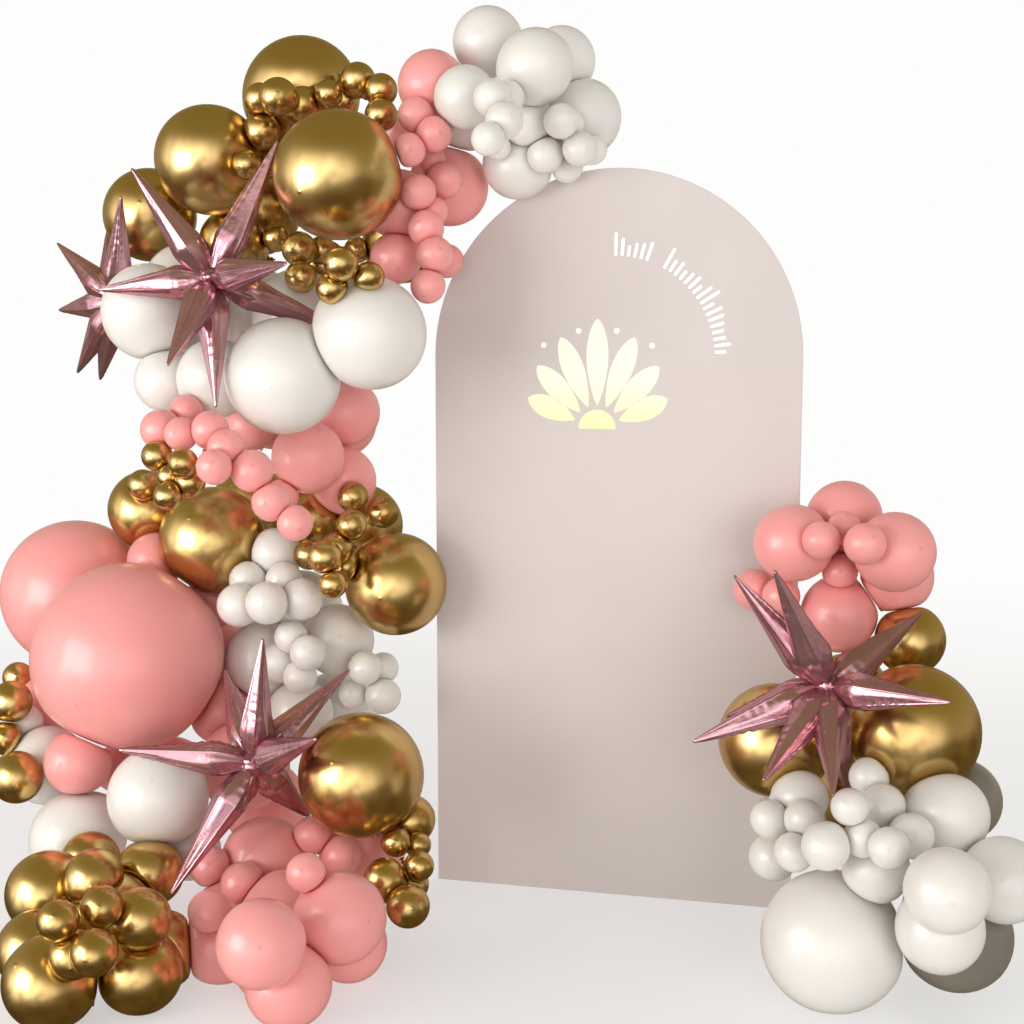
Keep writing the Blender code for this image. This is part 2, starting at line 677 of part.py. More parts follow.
def make_board():
    bm = bmesh.new()
    loop = [bm.verts.new((x, -BOARD_THICKNESS / 2, z)) for x, z in board_outline()]
    face = bm.faces.new(loop)
    out = bmesh.ops.extrude_face_region(bm, geom=[face])
    bmesh.ops.translate(bm, vec=(0.0, BOARD_THICKNESS, 0.0),
                        verts=[g for g in out["geom"] if isinstance(g, bmesh.types.BMVert)])
    bmesh.ops.recalc_face_normals(bm, faces=bm.faces)
    mesh = bpy.data.meshes.new("arch_board")
    bm.to_mesh(mesh)
    bm.free()
    board = bpy.data.objects.new("arch_board", mesh)
    bpy.context.scene.collection.objects.link(board)
    return board


def material(kind):
    colour, metallic, roughness = COLOURS[kind]
    mat = bpy.data.materials.get(kind) or bpy.data.materials.new(kind)
    mat.use_nodes = True
    shader = mat.node_tree.nodes["Principled BSDF"]
    shader.inputs["Base Color"].default_value = (*colour, 1.0)
    shader.inputs["Metallic"].default_value = metallic
    shader.inputs["Roughness"].default_value = roughness
    return mat


def clear_objects():
    for obj in list(bpy.data.objects):
        bpy.data.objects.remove(obj)


def build():
    clear_objects()
    board = make_board()
    board.data.materials.append(material("board"))

    hung = hang_balloons()
    solids, left_out = build_balloons(hung)
    for name, colour, coords, faces, members in solids:
        obj = mesh_object(name, coords, faces)
        obj.data.materials.append(material(colour))

    for name, centre, depth, tips in STARS:
        core, found = solve_star(name, centre, depth, tips, hung)
        star = join_spikes(name, core, [tip for tip, free in found])
        star.data.materials.clear()
        star.data.materials.append(material("foil"))
    return hung, solids, left_out


build()
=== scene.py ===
"""Looks of the free-standing balloon arch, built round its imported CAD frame.

Metres, +Z up, in the frame of the CAD.  The setting out is the CAD's own: the same
sections, sight lines and pressing rules give every balloon its place and size, and
the same search gives every foil star its core and tips.  Each CAD node is replaced by
one piece that holds the same balloons, blown smooth and dented where they press.
"""

import math

import bmesh
import bpy
import numpy as np
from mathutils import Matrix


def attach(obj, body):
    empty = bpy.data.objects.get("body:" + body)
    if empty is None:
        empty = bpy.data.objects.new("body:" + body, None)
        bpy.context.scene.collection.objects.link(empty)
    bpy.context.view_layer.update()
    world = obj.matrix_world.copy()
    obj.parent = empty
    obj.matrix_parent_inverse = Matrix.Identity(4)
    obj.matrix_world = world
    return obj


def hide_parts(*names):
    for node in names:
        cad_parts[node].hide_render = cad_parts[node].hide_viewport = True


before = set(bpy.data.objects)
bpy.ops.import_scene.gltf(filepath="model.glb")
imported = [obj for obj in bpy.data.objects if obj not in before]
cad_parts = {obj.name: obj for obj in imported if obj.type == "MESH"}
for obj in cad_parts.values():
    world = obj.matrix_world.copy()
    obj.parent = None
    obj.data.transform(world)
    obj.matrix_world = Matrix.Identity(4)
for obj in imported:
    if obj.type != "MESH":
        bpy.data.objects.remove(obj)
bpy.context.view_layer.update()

# ---------------------------------------------------------------- dimensions
BOARD_WIDTH = 1.00
BOARD_HEIGHT = 2.00
BOARD_THICKNESS = 0.018
BOARD_ARC_STEPS = 28

STAR_REACH = 0.335          # core to tip of a foil star's spike
STAR_CORE = 0.046
SPIKE_RADIUS = 0.044
REAR_SPIKES = 3             # cones of each star that reach back between the balloons

GAP = 0.0003                # between neighbouring solids
PRESS = 0.89                # centre distance of two pressed balloons / sum of radii

FOCAL = 1536.0              # sheet units
SHEET_CENTRE = 512.0
STATION = np.array((0.702, -4.107, 1.6))
HEADING = math.radians(13.5)
PITCH = math.radians(7.125)

# ---------------------------------------------------------------- the setting out
# group name, colour, balloons (u, v, r, layer)
SECTIONS = [
    ("white_top", "white", [
        (488, 42, 35, 1), (562, 60, 33, 0), (583, 118, 38, 1), (466, 120, 31, 0),
        (518, 164, 35, 0), (535, 67, 38, 2), (465, 97, 31, 2), (527, 120, 26, 1)]),
    ("white_top_beads_left", "white", [
        (508, 97, 17, 4), (492, 98, 19, 5), (504, 121, 19, 5), (488, 139, 17, 5), (498, 147, 13, 4)]),
    ("white_top_beads_right", "white", [
        (561, 121, 17.5, 5), (568, 124, 16, 4), (580, 149, 17.5, 5), (592, 150, 15, 4),
        (545, 155, 18, 5), (567, 167, 16, 3)]),
    ("pink_upper", "pink", [
        (432, 85, 34, 0), (449, 186, 39, 0), (400, 205, 35, 0), (396, 258, 26, 1), (398, 133, 22, 0)]),
    ("pink_upper_beads", "pink", [
        (416, 115, 18, 5), (434, 134, 18, 5), (409, 150, 17, 5), (433, 160, 13, 4),
        (445, 180, 18, 5), (418, 192, 18, 5)]),
    ("pink_hanging_beads", "pink", [
        (433, 212, 15, 4), (426, 228, 18, 4), (435, 255, 18.5, 5), (447, 261, 17, 4), (428, 286, 17.5, 5)]),
    ("gold_crown_back", "gold", [(302, 95, 57, 0)]),
    ("gold_crown_left", "gold", [(210, 160, 54, 1), (234, 243, 34, 0)]),
    ("gold_crown_right", "gold", [(338, 175, 64, 2)]),
    ("gold_shoulder", "gold", [(150, 215, 46, 0)]),
    ("gold_crown_beads_left", "gold", [
        (278, 97, 19.5, 5), (260, 99, 16, 4), (262, 131, 18.5, 5), (301, 105, 18, 4), (247, 165, 15, 4),
        (270, 158, 20, 0)]),
    ("gold_crown_beads_right", "gold", [
        (358, 80, 17.5, 5), (381, 90, 16.5, 5), (381, 115, 16.5, 5), (342, 100, 16, 4), (328, 94, 14, 4)]),
    ("gold_crown_beads_low", "gold", [
        (299, 249, 17.5, 5), (301, 277, 16, 5), (341, 264, 17.5, 5), (332, 288, 16.5, 4),
        (369, 277, 15.5, 5), (276, 238, 14, 4), (322, 250, 14, 4), (357, 250, 13, 4), (324, 264, 24, 1)]),
    ("white_shoulder_front", "white", [(283, 376, 58, 2)]),
    ("white_shoulder_right", "white", [(370, 333, 56, 2)]),
    ("white_shoulder_middle", "white", [(300, 318, 48, 1)]),
    ("white_shoulder_left", "white", [
        (150, 312, 48, 1), (187, 288, 43, 0), (167, 380, 32, 1), (216, 378, 39, 1), (206, 334, 28, 0)]),
    ("pink_band_beads", "pink", [
        (162, 430, 21, 3), (181, 434, 17, 4), (210, 430, 19, 4), (226, 448, 19, 5),
        (214, 467, 18, 5), (250, 425, 25, 0), (252, 471, 21.5, 5), (187, 411, 17, 1)]),
    ("pink_band", "pink", [(308, 457, 36, 2), (345, 412, 34, 1), (343, 480, 33, 1)]),
    ("pink_band_beads_low", "pink", [(271, 502, 19.5, 5), (282, 496, 17, 4), (295, 523, 18, 5)]),
    ("gold_band_left", "gold", [(148, 510, 39, 0)]),
    ("gold_band_middle", "gold", [(213, 540, 53, 2)]),
    ("gold_band_back", "gold", [(310, 520, 30, 0)]),
    ("gold_band_right", "gold", [(396, 584, 51, 2)]),
    ("gold_band_beads_left", "gold", [
        (157, 456, 15.5, 4), (183, 463, 15, 5), (170, 476, 13, 4), (190, 482, 15.5, 4),
        (168, 496, 14.5, 5), (143, 485, 15.5, 5)]),
    ("gold_band_beads_right", "gold", [
        (353, 497, 15.5, 5), (383, 512, 16, 5), (352, 525, 15.5, 5), (337, 548, 16, 4),
        (325, 557, 17.5, 5), (333, 584, 14.5, 5), (309, 555, 15, 4), (345, 566, 15, 2)]),
    ("white_band_beads", "white", [
        (276, 554, 26, 3), (248, 580, 19, 4), (284, 580, 18.5, 4), (302, 599, 21, 4),
        (239, 605, 22, 4), (267, 603, 21.5, 5)]),
    ("white_band", "white", [
        (291, 637, 16.5, 5), (308, 653, 18, 5), (281, 662, 21, 4), (300, 677, 17, 4),
        (338, 640, 36, 2), (264, 660, 39, 1), (300, 713, 33, 1)]),
    ("white_band_beads_right", "white", [
        (365, 668, 17, 5), (383, 668, 15.5, 4), (383, 696, 18, 5), (353, 694, 14.5, 4)]),
    ("pink_giant_back", "pink", [(77, 594, 73, 0)]),
    ("pink_giant_front", "pink", [(128, 657, 94, 2)]),
    ("pink_under_giant", "pink", [
        (48, 705, 30, 0), (78, 762, 33, 2), (118, 768, 24, 1), (222, 712, 32, 0), (244, 766, 45, 0),
        (156, 560, 28, 0), (214, 600, 28, 0)]),
    ("gold_left_edge", "gold", [(18, 677, 15, 3), (11, 702, 21, 3), (5, 738, 17, 2), (17, 777, 26, 2)]),
    ("white_left_edge", "white", [(25, 722, 18, 1), (47, 765, 39, 1)]),
    ("white_low", "white", [(158, 797, 50, 1), (78, 838, 47, 0), (190, 850, 30, 0)]),
    ("gold_low", "gold", [(361, 775, 62, 2)]),
    ("gold_low_beads", "gold", [
        (410, 820, 25, 0), (396, 842, 15, 4), (419, 866, 15, 4), (385, 880, 22, 2), (408, 906, 22, 2),
        (418, 845, 13, 2), (412, 884, 17, 1)]),
    ("pink_foot_back", "pink", [(266, 863, 45, 1), (349, 944, 38, 0), (220, 943, 40, 1), (288, 985, 43, 1)]),
    ("pink_foot_right", "pink", [(340, 918, 46, 2)]),
    ("pink_foot_front", "pink", [(261, 944, 45, 3)]),
    ("pink_foot_beads", "pink", [
        (312, 835, 19, 4), (341, 856, 20, 5), (306, 873, 20, 5), (211, 867, 20.5, 4),
        (243, 884, 22.5, 5), (209, 911, 21, 5)]),
    ("gold_foot_back", "gold", [(49, 893, 42, 1), (50, 982, 47, 0), (140, 972, 42, 0), (90, 862, 30, 0)]),
    ("gold_foot_front", "gold", [
        (150, 872, 34, 1), (94, 879, 30, 2), (102, 907, 21.5, 5), (58, 921, 21, 5),
        (140, 919, 31, 3), (94, 953, 24, 5), (73, 955, 25, 4)]),
    ("pink_column_back", "pink", [(844, 519, 38, 0), (897, 577, 36, 0)]),
    ("pink_column_left", "pink", [(793, 543, 38.5, 1)]),
    ("pink_column_right", "pink", [(895, 552, 40, 1)]),
    ("pink_column_low", "pink", [(839, 614, 38, 2), (781, 596, 19, 3), (755, 590, 21, 1)]),
    ("pink_column_beads", "pink", [(844, 528, 17, 3), (821, 540, 19, 4), (865, 544, 21, 5), (840, 571, 18, 5)]),
    ("gold_column_top", "gold", [(910, 640, 35, 1)]),
    ("gold_column_right", "gold", [(914, 731, 65, 2)]),
    ("gold_column_left", "gold", [(775, 740, 56, 1), (838, 748, 30, 0)]),
    ("white_column_right", "white", [
        (961, 800, 40, 0), (946, 815, 42, 2), (947, 891, 43, 3), (1003, 880, 43, 1), (940, 929, 44, 1)]),
    ("white_column_back", "white", [(955, 934, 56, 0)]),
    ("white_column_front", "white", [(832, 941, 70, 2)]),
    ("white_column_middle", "white", [(876, 869, 34, 3)]),
    ("white_column_beads", "white", [
        (869, 777, 20, 4), (850, 807, 19, 6), (883, 806, 22.5, 4),
        (863, 838, 20, 5), (889, 848, 21, 5), (911, 836, 23, 4)]),
    ("white_column_beads_left", "white", [
        (800, 798, 28, 3), (770, 819, 19.5, 5), (804, 819, 20, 5), (773, 857, 24, 4),
        (794, 852, 20, 5), (826, 846, 24.5, 5)]),
]

# plainer balloons that close the back of the garlands, each in the colour of the
# balloon it is pushed against: (x, z, radius)
BACKING = [
    (-0.64, 1.82, 0.115), (-0.86, 2.00, 0.135), (-1.12, 1.92, 0.125), (-1.10, 1.62, 0.135),
    (-0.80, 1.60, 0.125), (-1.08, 1.34, 0.125), (-0.86, 1.30, 0.105), (-1.12, 1.04, 0.125),
    (-0.78, 1.00, 0.120), (-0.95, 0.74, 0.125), (-1.25, 0.58, 0.150), (-0.82, 0.46, 0.120),
    (-1.30, 0.26, 0.125), (-1.00, 0.21, 0.120), (-0.62, 0.19, 0.115), (0.64, 0.62, 0.110),
    (0.68, 0.36, 0.120),
]

# balloons inside the foot of the left garland, resting on the floor: (x, y, radius)
FOOT_FILLING = [
    (-0.72, -0.64, 0.115), (-0.88, -0.58, 0.095), (-1.14, -0.74, 0.115), (-0.66, -0.86, 0.095),
    (-0.95, -0.86, 0.095), (-1.24, -0.93, 0.095),
]

SPINE_LEFT = [(0, -0.02), (200, -0.02), (450, -0.05), (600, -0.10), (780, -0.32), (900, -0.55), (1024, -0.66)]
SPINE_RIGHT = [(480, -0.05), (600, -0.08), (740, -0.17), (820, -0.34), (900, -0.50), (1024, -0.66)]
SPINE_SET_BACK = 0.10       # the left garland, clear of the board's edge, sits further back

# foil stars: centre (u, v), core depth or None, tips (u, v, lean): lean +1 points
# towards the station, -1 away, 0 either way
STARS = [
    ("star_upper_back", (116, 301), 4.43, [
        (57, 243, 0), (59, 310, 0), (77, 373, 0), (121, 196, 0), (108, 229, -1), (100, 380, -1)]),
    ("star_upper", (212, 279), None, [
        (131, 168, 0), (144, 180, -1), (278, 140, 0), (287, 263, 1), (96, 290, 0),
        (349, 331, 0), (216, 408, 0), (167, 366, 1)]),
    ("star_middle", (254, 763), None, [
        (263, 638, 0), (225, 670, -1), (350, 669, -1), (317, 739, 1), (118, 750, 0),
        (170, 895, 0), (206, 846, -1), (310, 817, -1)]),
    ("star_column", (828, 688), None, [
        (734, 575, 0), (774, 570, 0), (923, 611, 0), (951, 702, 1), (692, 742, 0),
        (726, 717, -1), (763, 781, 1), (833, 797, 0), (847, 791, -1)]),
]

RIGHT = np.array((math.cos(HEADING), math.sin(HEADING), 0.0))
LEVEL = np.array((-math.sin(HEADING), math.cos(HEADING), 0.0))
FORWARD = LEVEL * math.cos(PITCH) - np.array((0.0, 0.0, math.sin(PITCH)))
UP = LEVEL * math.sin(PITCH) + np.array((0.0, 0.0, math.cos(PITCH)))


# ---------------------------------------------------------------- placing
def along(table, v):
    return float(np.interp(v, [a for a, _ in table], [b for _, b in table]))


def at(u, v, depth):
    """The point on the sight line of sheet position (u, v) at a depth from the station."""
    ray = FORWARD + RIGHT * ((u - SHEET_CENTRE) / FOCAL) - UP * ((v - SHEET_CENTRE) / FOCAL)
    return STATION + ray * depth


def nearest_on_board(p):
    x, y, z = p
    spring = BOARD_HEIGHT - BOARD_WIDTH / 2
    ny = min(max(y, -BOARD_THICKNESS / 2), BOARD_THICKNESS / 2)
    if z <= spring:
        return np.array((min(max(x, -BOARD_WIDTH / 2), BOARD_WIDTH / 2), ny, max(z, 0.0)))
    reach = math.hypot(x, z - spring)
    s = min(1.0, (BOARD_WIDTH / 2) / reach) if reach > 0 else 1.0
    return np.array((x * s, ny, spring + (z - spring) * s))


def presses(c, r, centres, radii):
    """What a balloon at c presses on: -2 nothing, -1 the floor or the board, or the
    place of a hung balloon."""
    if c[2] <= r * 0.985:
        return -1
    if np.linalg.norm(c - nearest_on_board(c)) <= r * 0.95:
        return -1
    if len(radii):
        over = np.linalg.norm(centres - c, axis=1) - PRESS * (radii + r)
        k = int(np.argmin(over))
        if over[k] <= 0.0:
            return k
    return -2


def hang_balloons():
    order = []
    for g, (group, colour, items) in enumerate(SECTIONS):
        for k, (u, v, r, layer) in enumerate(items):
            order.append((layer, g, k, group, colour, u, v, r))
    order.sort()
    hung = []
    centres, radii = np.zeros((0, 3)), np.zeros(0)
    for layer, g, k, group, colour, u, v, r in order:
        if u < 640:
            limit = along(SPINE_LEFT, v) + (SPINE_SET_BACK if u < 430 and v < 800 else 0.0)
        else:
            limit = along(SPINE_RIGHT, v)
        depth = 2.7
        while True:
            c = at(u, v, depth)
            if c[1] >= limit or presses(c, r * depth / FOCAL, centres, radii) > -2:
                break
            depth += 0.006
        hung.append(dict(name="%s_%d" % (group, k + 1), group=group, colour=colour, c=c,
                         r=r * depth / FOCAL, sheet=r, depth=depth, layer=layer))
        centres = np.vstack((centres, c))
        radii = np.append(radii, r * depth / FOCAL)
    for k, (x, z, r) in enumerate(BACKING):
        y = 0.7
        while True:
            c = np.array((x, y, z))
            touch = presses(c, r, centres, radii)
            if touch > -2 or y < -0.9:
                break
            y -= 0.006
        host = hung[max(touch, 0)]
        hung.append(dict(name="backing_%d" % (k + 1), group=host["group"], colour=host["colour"], c=c,
                         r=r, sheet=30.0, depth=4.2, layer=6))
        centres = np.vstack((centres, c))
        radii = np.append(radii, r)
    for k, (x, y, r) in enumerate(FOOT_FILLING):
        c = np.array((x, y, r * 0.985))
        host = hung[int(np.argmin(np.linalg.norm(centres - c, axis=1) - radii))]
        hung.append(dict(name="filling_%d" % (k + 1), group=host["group"], colour=host["colour"], c=c,
                         r=r, sheet=30.0, depth=4.0, layer=7))
    return hung


def detail(ball):
    if ball["sheet"] > 80:
        return 3, 1.012
    if ball["sheet"] >= 37:
        return 2, 1.028
    return 1, 1.07


# ---------------------------------------------------------------- foil stars
def spike_radius(t, length):
    """Radius of a spike at the fraction t of its length, measured from the star's middle."""
    widest = SPIKE_RADIUS * min(1.0, length / STAR_REACH + 0.12)
    if t < 0.30:
        return widest * (0.50 + 0.50 * (t / 0.30))
    return widest * (1.0 - 0.93 * ((t - 0.30) / 0.70))


def clearance(core, tip, centres, radii):
    """Least distance between a spike's skin and the balloons round it."""
    length = float(np.linalg.norm(tip - core))
    steps = [k / 24.0 for k in range(3, 25)]
    points = np.array([core + (tip - core) * t for t in steps])
    skin = np.array([spike_radius(t, length) for t in steps])
    free = np.linalg.norm(points[:, None, :] - centres[None, :, :], axis=2) - radii[None, :] - skin[:, None]
    return float(free.min())


def solve_star(name, centre, depth, tips, hung):
    """Core position and spike tips of one star: the core is carried back until it rests
    on the balloons, then each spike keeps its place on the sheet and leans forwards or
    back so that it clears them."""
    centres = np.array([b["c"] for b in hung])
    radii = np.array([b["R"] for b in hung])
    if depth is None:
        depth = 2.7
        while True:
            p = at(centre[0], centre[1], depth)
            if (np.linalg.norm(centres - p, axis=1) - radii).min() < STAR_CORE + 0.012:
                break
            depth += 0.006
    best_star = None
    for pull in range(12):
        d0 = depth - 0.022 * pull
        core = at(centre[0], centre[1], d0)
        near = np.linalg.norm(centres - core, axis=1) < radii + STAR_REACH * 1.4
        found, total = [], 0.010 * pull
        for (tu, tv, lean) in tips:
            best = None
            for share in (1.0, 0.92, 0.84, 0.76, 0.68, 0.6):
                u = centre[0] + (tu - centre[0]) * share
                v = centre[1] + (tv - centre[1]) * share
                for k in range(-14, 15):
                    tip = at(u, v, d0 + 0.02 * k)
                    length = float(np.linalg.norm(tip - core))
                    if length > STAR_REACH * 1.2 or length < 0.10:
                        continue
                    free = clearance(core, tip, centres[near], radii[near])
                    if free < 0.003:
                        continue
                    cost = abs(length - STAR_REACH * share) + 1.5 * (1.0 - share)
                    if lean and (lean > 0) != (k < 0):
                        cost += 0.08
                    if lean == 0:
                        cost += 0.003 * abs(k)
                    if best is None or cost < best[0]:
                        best = (cost, tip, free)
                if best is not None:
                    break
            if best is None:
                total += 1.0
                continue
            total += best[0]
            found.append(best)
        if best_star is None or total < best_star[0]:
            best_star = (total, core, found, near)
    core, found, near = best_star[1:]
    cones = [(tip, free) for _, tip, free in found]
    return core, cones + rear_cones(core, [tip for tip, free in cones], centres[near], radii[near])


def rear_cones(core, tips, centres, radii):
    """Further cones that point away from the station, as long as the balloons allow and
    well apart from the cones that are there."""
    taken = [(tip - core) / np.linalg.norm(tip - core) for tip in tips]
    rows = []
    for i in range(90):
        z = 1.0 - 2.0 * (i + 0.5) / 90
        t = 2.399963 * i
        way = np.array((math.cos(t) * math.sqrt(1 - z * z), math.sin(t) * math.sqrt(1 - z * z), z))
        if float(way @ FORWARD) < 0.30:
            continue
        for share in (1.0, 0.9, 0.8, 0.7, 0.6, 0.5, 0.42):
            tip = core + way * STAR_REACH * share
            free = clearance(core, tip, centres, radii)
            if free >= 0.003:
                rows.append((-share, i, way, tip, free))
                break
    rows.sort(key=lambda row: row[:2])
    out = []
    for _, _, way, tip, free in rows:
        if len(out) < REAR_SPIKES and all(float(way @ other) < 0.62 for other in taken):
            taken.append(way)
            out.append((tip, free))
    return out


# ================================================================ camera and studio
def make_camera():
    data = bpy.data.cameras.new("camera")
    data.sensor_width = 36.0
    data.lens = 54.0
    cam = bpy.data.objects.new("camera", data)
    cam.location = tuple(STATION)
    cam.rotation_euler = (math.pi / 2 - PITCH, 0.0, HEADING)
    bpy.context.scene.collection.objects.link(cam)
    bpy.context.scene.camera = cam


def softbox(name, place, target, size, power, colour, spread=math.pi):
    data = bpy.data.lights.new(name, "AREA")
    data.shape = "RECTANGLE"
    data.size, data.size_y = size
    data.energy = power
    data.color = colour
    data.spread = spread
    lamp = bpy.data.objects.new(name, data)
    way = np.array(target) - np.array(place)
    way = way / np.linalg.norm(way)
    lamp.location = place
    lamp.rotation_euler = (math.acos(-way[2]), 0.0, math.atan2(way[1], way[0]) - math.pi / 2)
    bpy.context.scene.collection.objects.link(lamp)
    return lamp


def make_studio():
    scene = bpy.context.scene
    scene.view_settings.view_transform = "Standard"
    scene.view_settings.look = "None"
    softbox("key", (-3.9, -4.5, 1.55), (-0.4, -0.3, 1.0), (3.4, 2.8), 176.0, (1.0, 0.98, 0.95))
    fill = softbox("fill", (4.4, -7.2, 1.9), (0.1, -0.3, 0.6), (4.5, 3.6), 208.0, (1.0, 0.99, 0.98))
    back = softbox("back", (1.4, 4.6, 3.2), (-0.2, 0.0, 1.1), (2.6, 2.2), 75.0, (1.0, 0.98, 0.96))
    for lamp in (fill, back):
        lamp.visible_glossy = False

    world = bpy.data.worlds.new("studio")
    scene.world = world
    world.use_nodes = True
    nodes, links = world.node_tree.nodes, world.node_tree.links
    nodes.clear()
    out = nodes.new("ShaderNodeOutputWorld")
    coords = nodes.new("ShaderNodeTexCoord")
    split = nodes.new("ShaderNodeSeparateXYZ")
    links.new(coords.outputs["Generated"], split.inputs[0])
    height = nodes.new("ShaderNodeMapRange")
    height.inputs["From Min"].default_value = -1.0
    links.new(split.outputs["Z"], height.inputs["Value"])
    # what the gloss mirrors: a warm dark below, a paler level, a dim top
    ramp = nodes.new("ShaderNodeValToRGB")
    ramp.color_ramp.elements[0].color = (0.165, 0.120, 0.040, 1.0)
    ramp.color_ramp.elements[0].position = 0.20
    ramp.color_ramp.elements[1].color = (0.29, 0.24, 0.085, 1.0)
    ramp.color_ramp.elements[1].position = 0.92
    for place, colour in ((0.40, (0.25, 0.19, 0.085, 1.0)), (0.50, (0.50, 0.44, 0.37, 1.0)), (0.68, (0.40, 0.345, 0.18, 1.0))):
        ramp.color_ramp.elements.new(place).color = colour
    links.new(height.outputs[0], ramp.inputs[0])

    def span(value, a, b, lo=0.0, hi=1.0):
        node = nodes.new("ShaderNodeMapRange")
        node.interpolation_type = "SMOOTHSTEP"
        for key, x in (("From Min", a), ("From Max", b), ("To Min", lo), ("To Max", hi)):
            node.inputs[key].default_value = x
        links.new(value, node.inputs["Value"])
        return node.outputs[0]

    def math_node(kind, a, b):
        node = nodes.new("ShaderNodeMath")
        node.operation = kind
        for socket, x in ((node.inputs[0], a), (node.inputs[1], b)):
            if isinstance(x, float):
                socket.default_value = x
            else:
                links.new(x, socket)
        return node.outputs[0]

    # a broad bright patch at the level of the key light, broken up softly
    aim = nodes.new("ShaderNodeVectorMath")
    aim.operation = "DOT_PRODUCT"
    aim.inputs[1].default_value = (-0.32, -0.945, 0.04)
    links.new(coords.outputs["Generated"], aim.inputs[0])
    off_level = math_node("ABSOLUTE", math_node("SUBTRACT", split.outputs["Z"], 0.06), 0.0)
    uneven = nodes.new("ShaderNodeTexNoise")
    uneven.inputs["Scale"].default_value = 3.4
    uneven.inputs["Detail"].default_value = 3.0
    links.new(coords.outputs["Generated"], uneven.inputs["Vector"])
    patches = span(uneven.outputs["Fac"], 0.38, 0.60, 0.45, 1.0)
    lobe = math_node("MULTIPLY", span(aim.outputs["Value"], 0.12, 0.92), span(off_level, 0.62, 0.14))
    lobe = math_node("MULTIPLY", lobe, patches)
    lit = nodes.new("ShaderNodeMix")
    lit.data_type = "RGBA"
    lit.inputs[7].default_value = (2.6, 2.52, 2.6, 1.0)
    links.new(lobe, lit.inputs[0])
    links.new(ramp.outputs[0], lit.inputs[6])
    # dark patches low down, for contrast in the gloss
    dim = math_node("MULTIPLY", span(split.outputs["Z"], 0.12, -0.20), span(uneven.outputs["Fac"], 0.54, 0.44))
    dark = nodes.new("ShaderNodeMix")
    dark.data_type = "RGBA"
    dark.inputs[7].default_value = (0.085, 0.060, 0.030, 1.0)
    links.new(math_node("MULTIPLY", dim, 0.8), dark.inputs[0])
    links.new(lit.outputs[2], dark.inputs[6])
    mirrored = nodes.new("ShaderNodeBackground")
    links.new(dark.outputs[2], mirrored.inputs["Color"])
    backdrop = nodes.new("ShaderNodeBackground")
    backdrop.inputs["Color"].default_value = (*BACKDROP, 1.0)
    ambient = nodes.new("ShaderNodeBackground")
    ambient.inputs["Color"].default_value = (0.62, 0.605, 0.585, 1.0)
    path = nodes.new("ShaderNodeLightPath")
    first, second = nodes.new("ShaderNodeMixShader"), nodes.new("ShaderNodeMixShader")
    links.new(path.outputs["Is Glossy Ray"], first.inputs[0])
    links.new(ambient.outputs[0], first.inputs[1])
    links.new(mirrored.outputs[0], first.inputs[2])
    links.new(path.outputs["Is Camera Ray"], second.inputs[0])
    links.new(first.outputs[0], second.inputs[1])
    links.new(backdrop.outputs[0], second.inputs[2])
    links.new(second.outputs[0], out.inputs["Surface"])


BACKDROP = (0.985, 0.983, 0.98)


def make_floor():
    bm = bmesh.new()
    bmesh.ops.create_circle(bm, cap_ends=True, segments=96, radius=60.0)
    mesh = bpy.data.meshes.new("studio_floor")
    bm.to_mesh(mesh)
    bm.free()
    floor = bpy.data.objects.new("studio_floor", mesh)
    floor.location = (0.0, 0.0, -0.0008)
    bpy.context.scene.collection.objects.link(floor)
    mat = bpy.data.materials.new("floor_paint")
    mat.use_nodes = True
    nodes, links = mat.node_tree.nodes, mat.node_tree.links
    shader = nodes["Principled BSDF"]
    shader.inputs["Base Color"].default_value = (0.84, 0.83, 0.82, 1.0)
    shader.inputs["Roughness"].default_value = 0.75
    glow = nodes.new("ShaderNodeEmission")
    glow.inputs["Color"].default_value = (*BACKDROP, 1.0)
    coords = nodes.new("ShaderNodeTexCoord")
    length = nodes.new("ShaderNodeVectorMath")
    length.operation = "LENGTH"
    links.new(coords.outputs["Object"], length.inputs[0])
    fade = nodes.new("ShaderNodeMapRange")
    fade.interpolation_type = "SMOOTHSTEP"
    fade.inputs["From Min"].default_value = 2.2
    fade.inputs["From Max"].default_value = 6.0
    fade.inputs["To Min"].default_value = 0.50
    links.new(length.outputs["Value"], fade.inputs["Value"])
    mix = nodes.new("ShaderNodeMixShader")
    links.new(fade.outputs[0], mix.inputs[0])
    links.new(shader.outputs[0], mix.inputs[1])
    links.new(glow.outputs[0], mix.inputs[2])
    links.new(mix.outputs[0], nodes["Material Output"].inputs["Surface"])
    floor.data.materials.append(mat)
    floor.visible_glossy = False


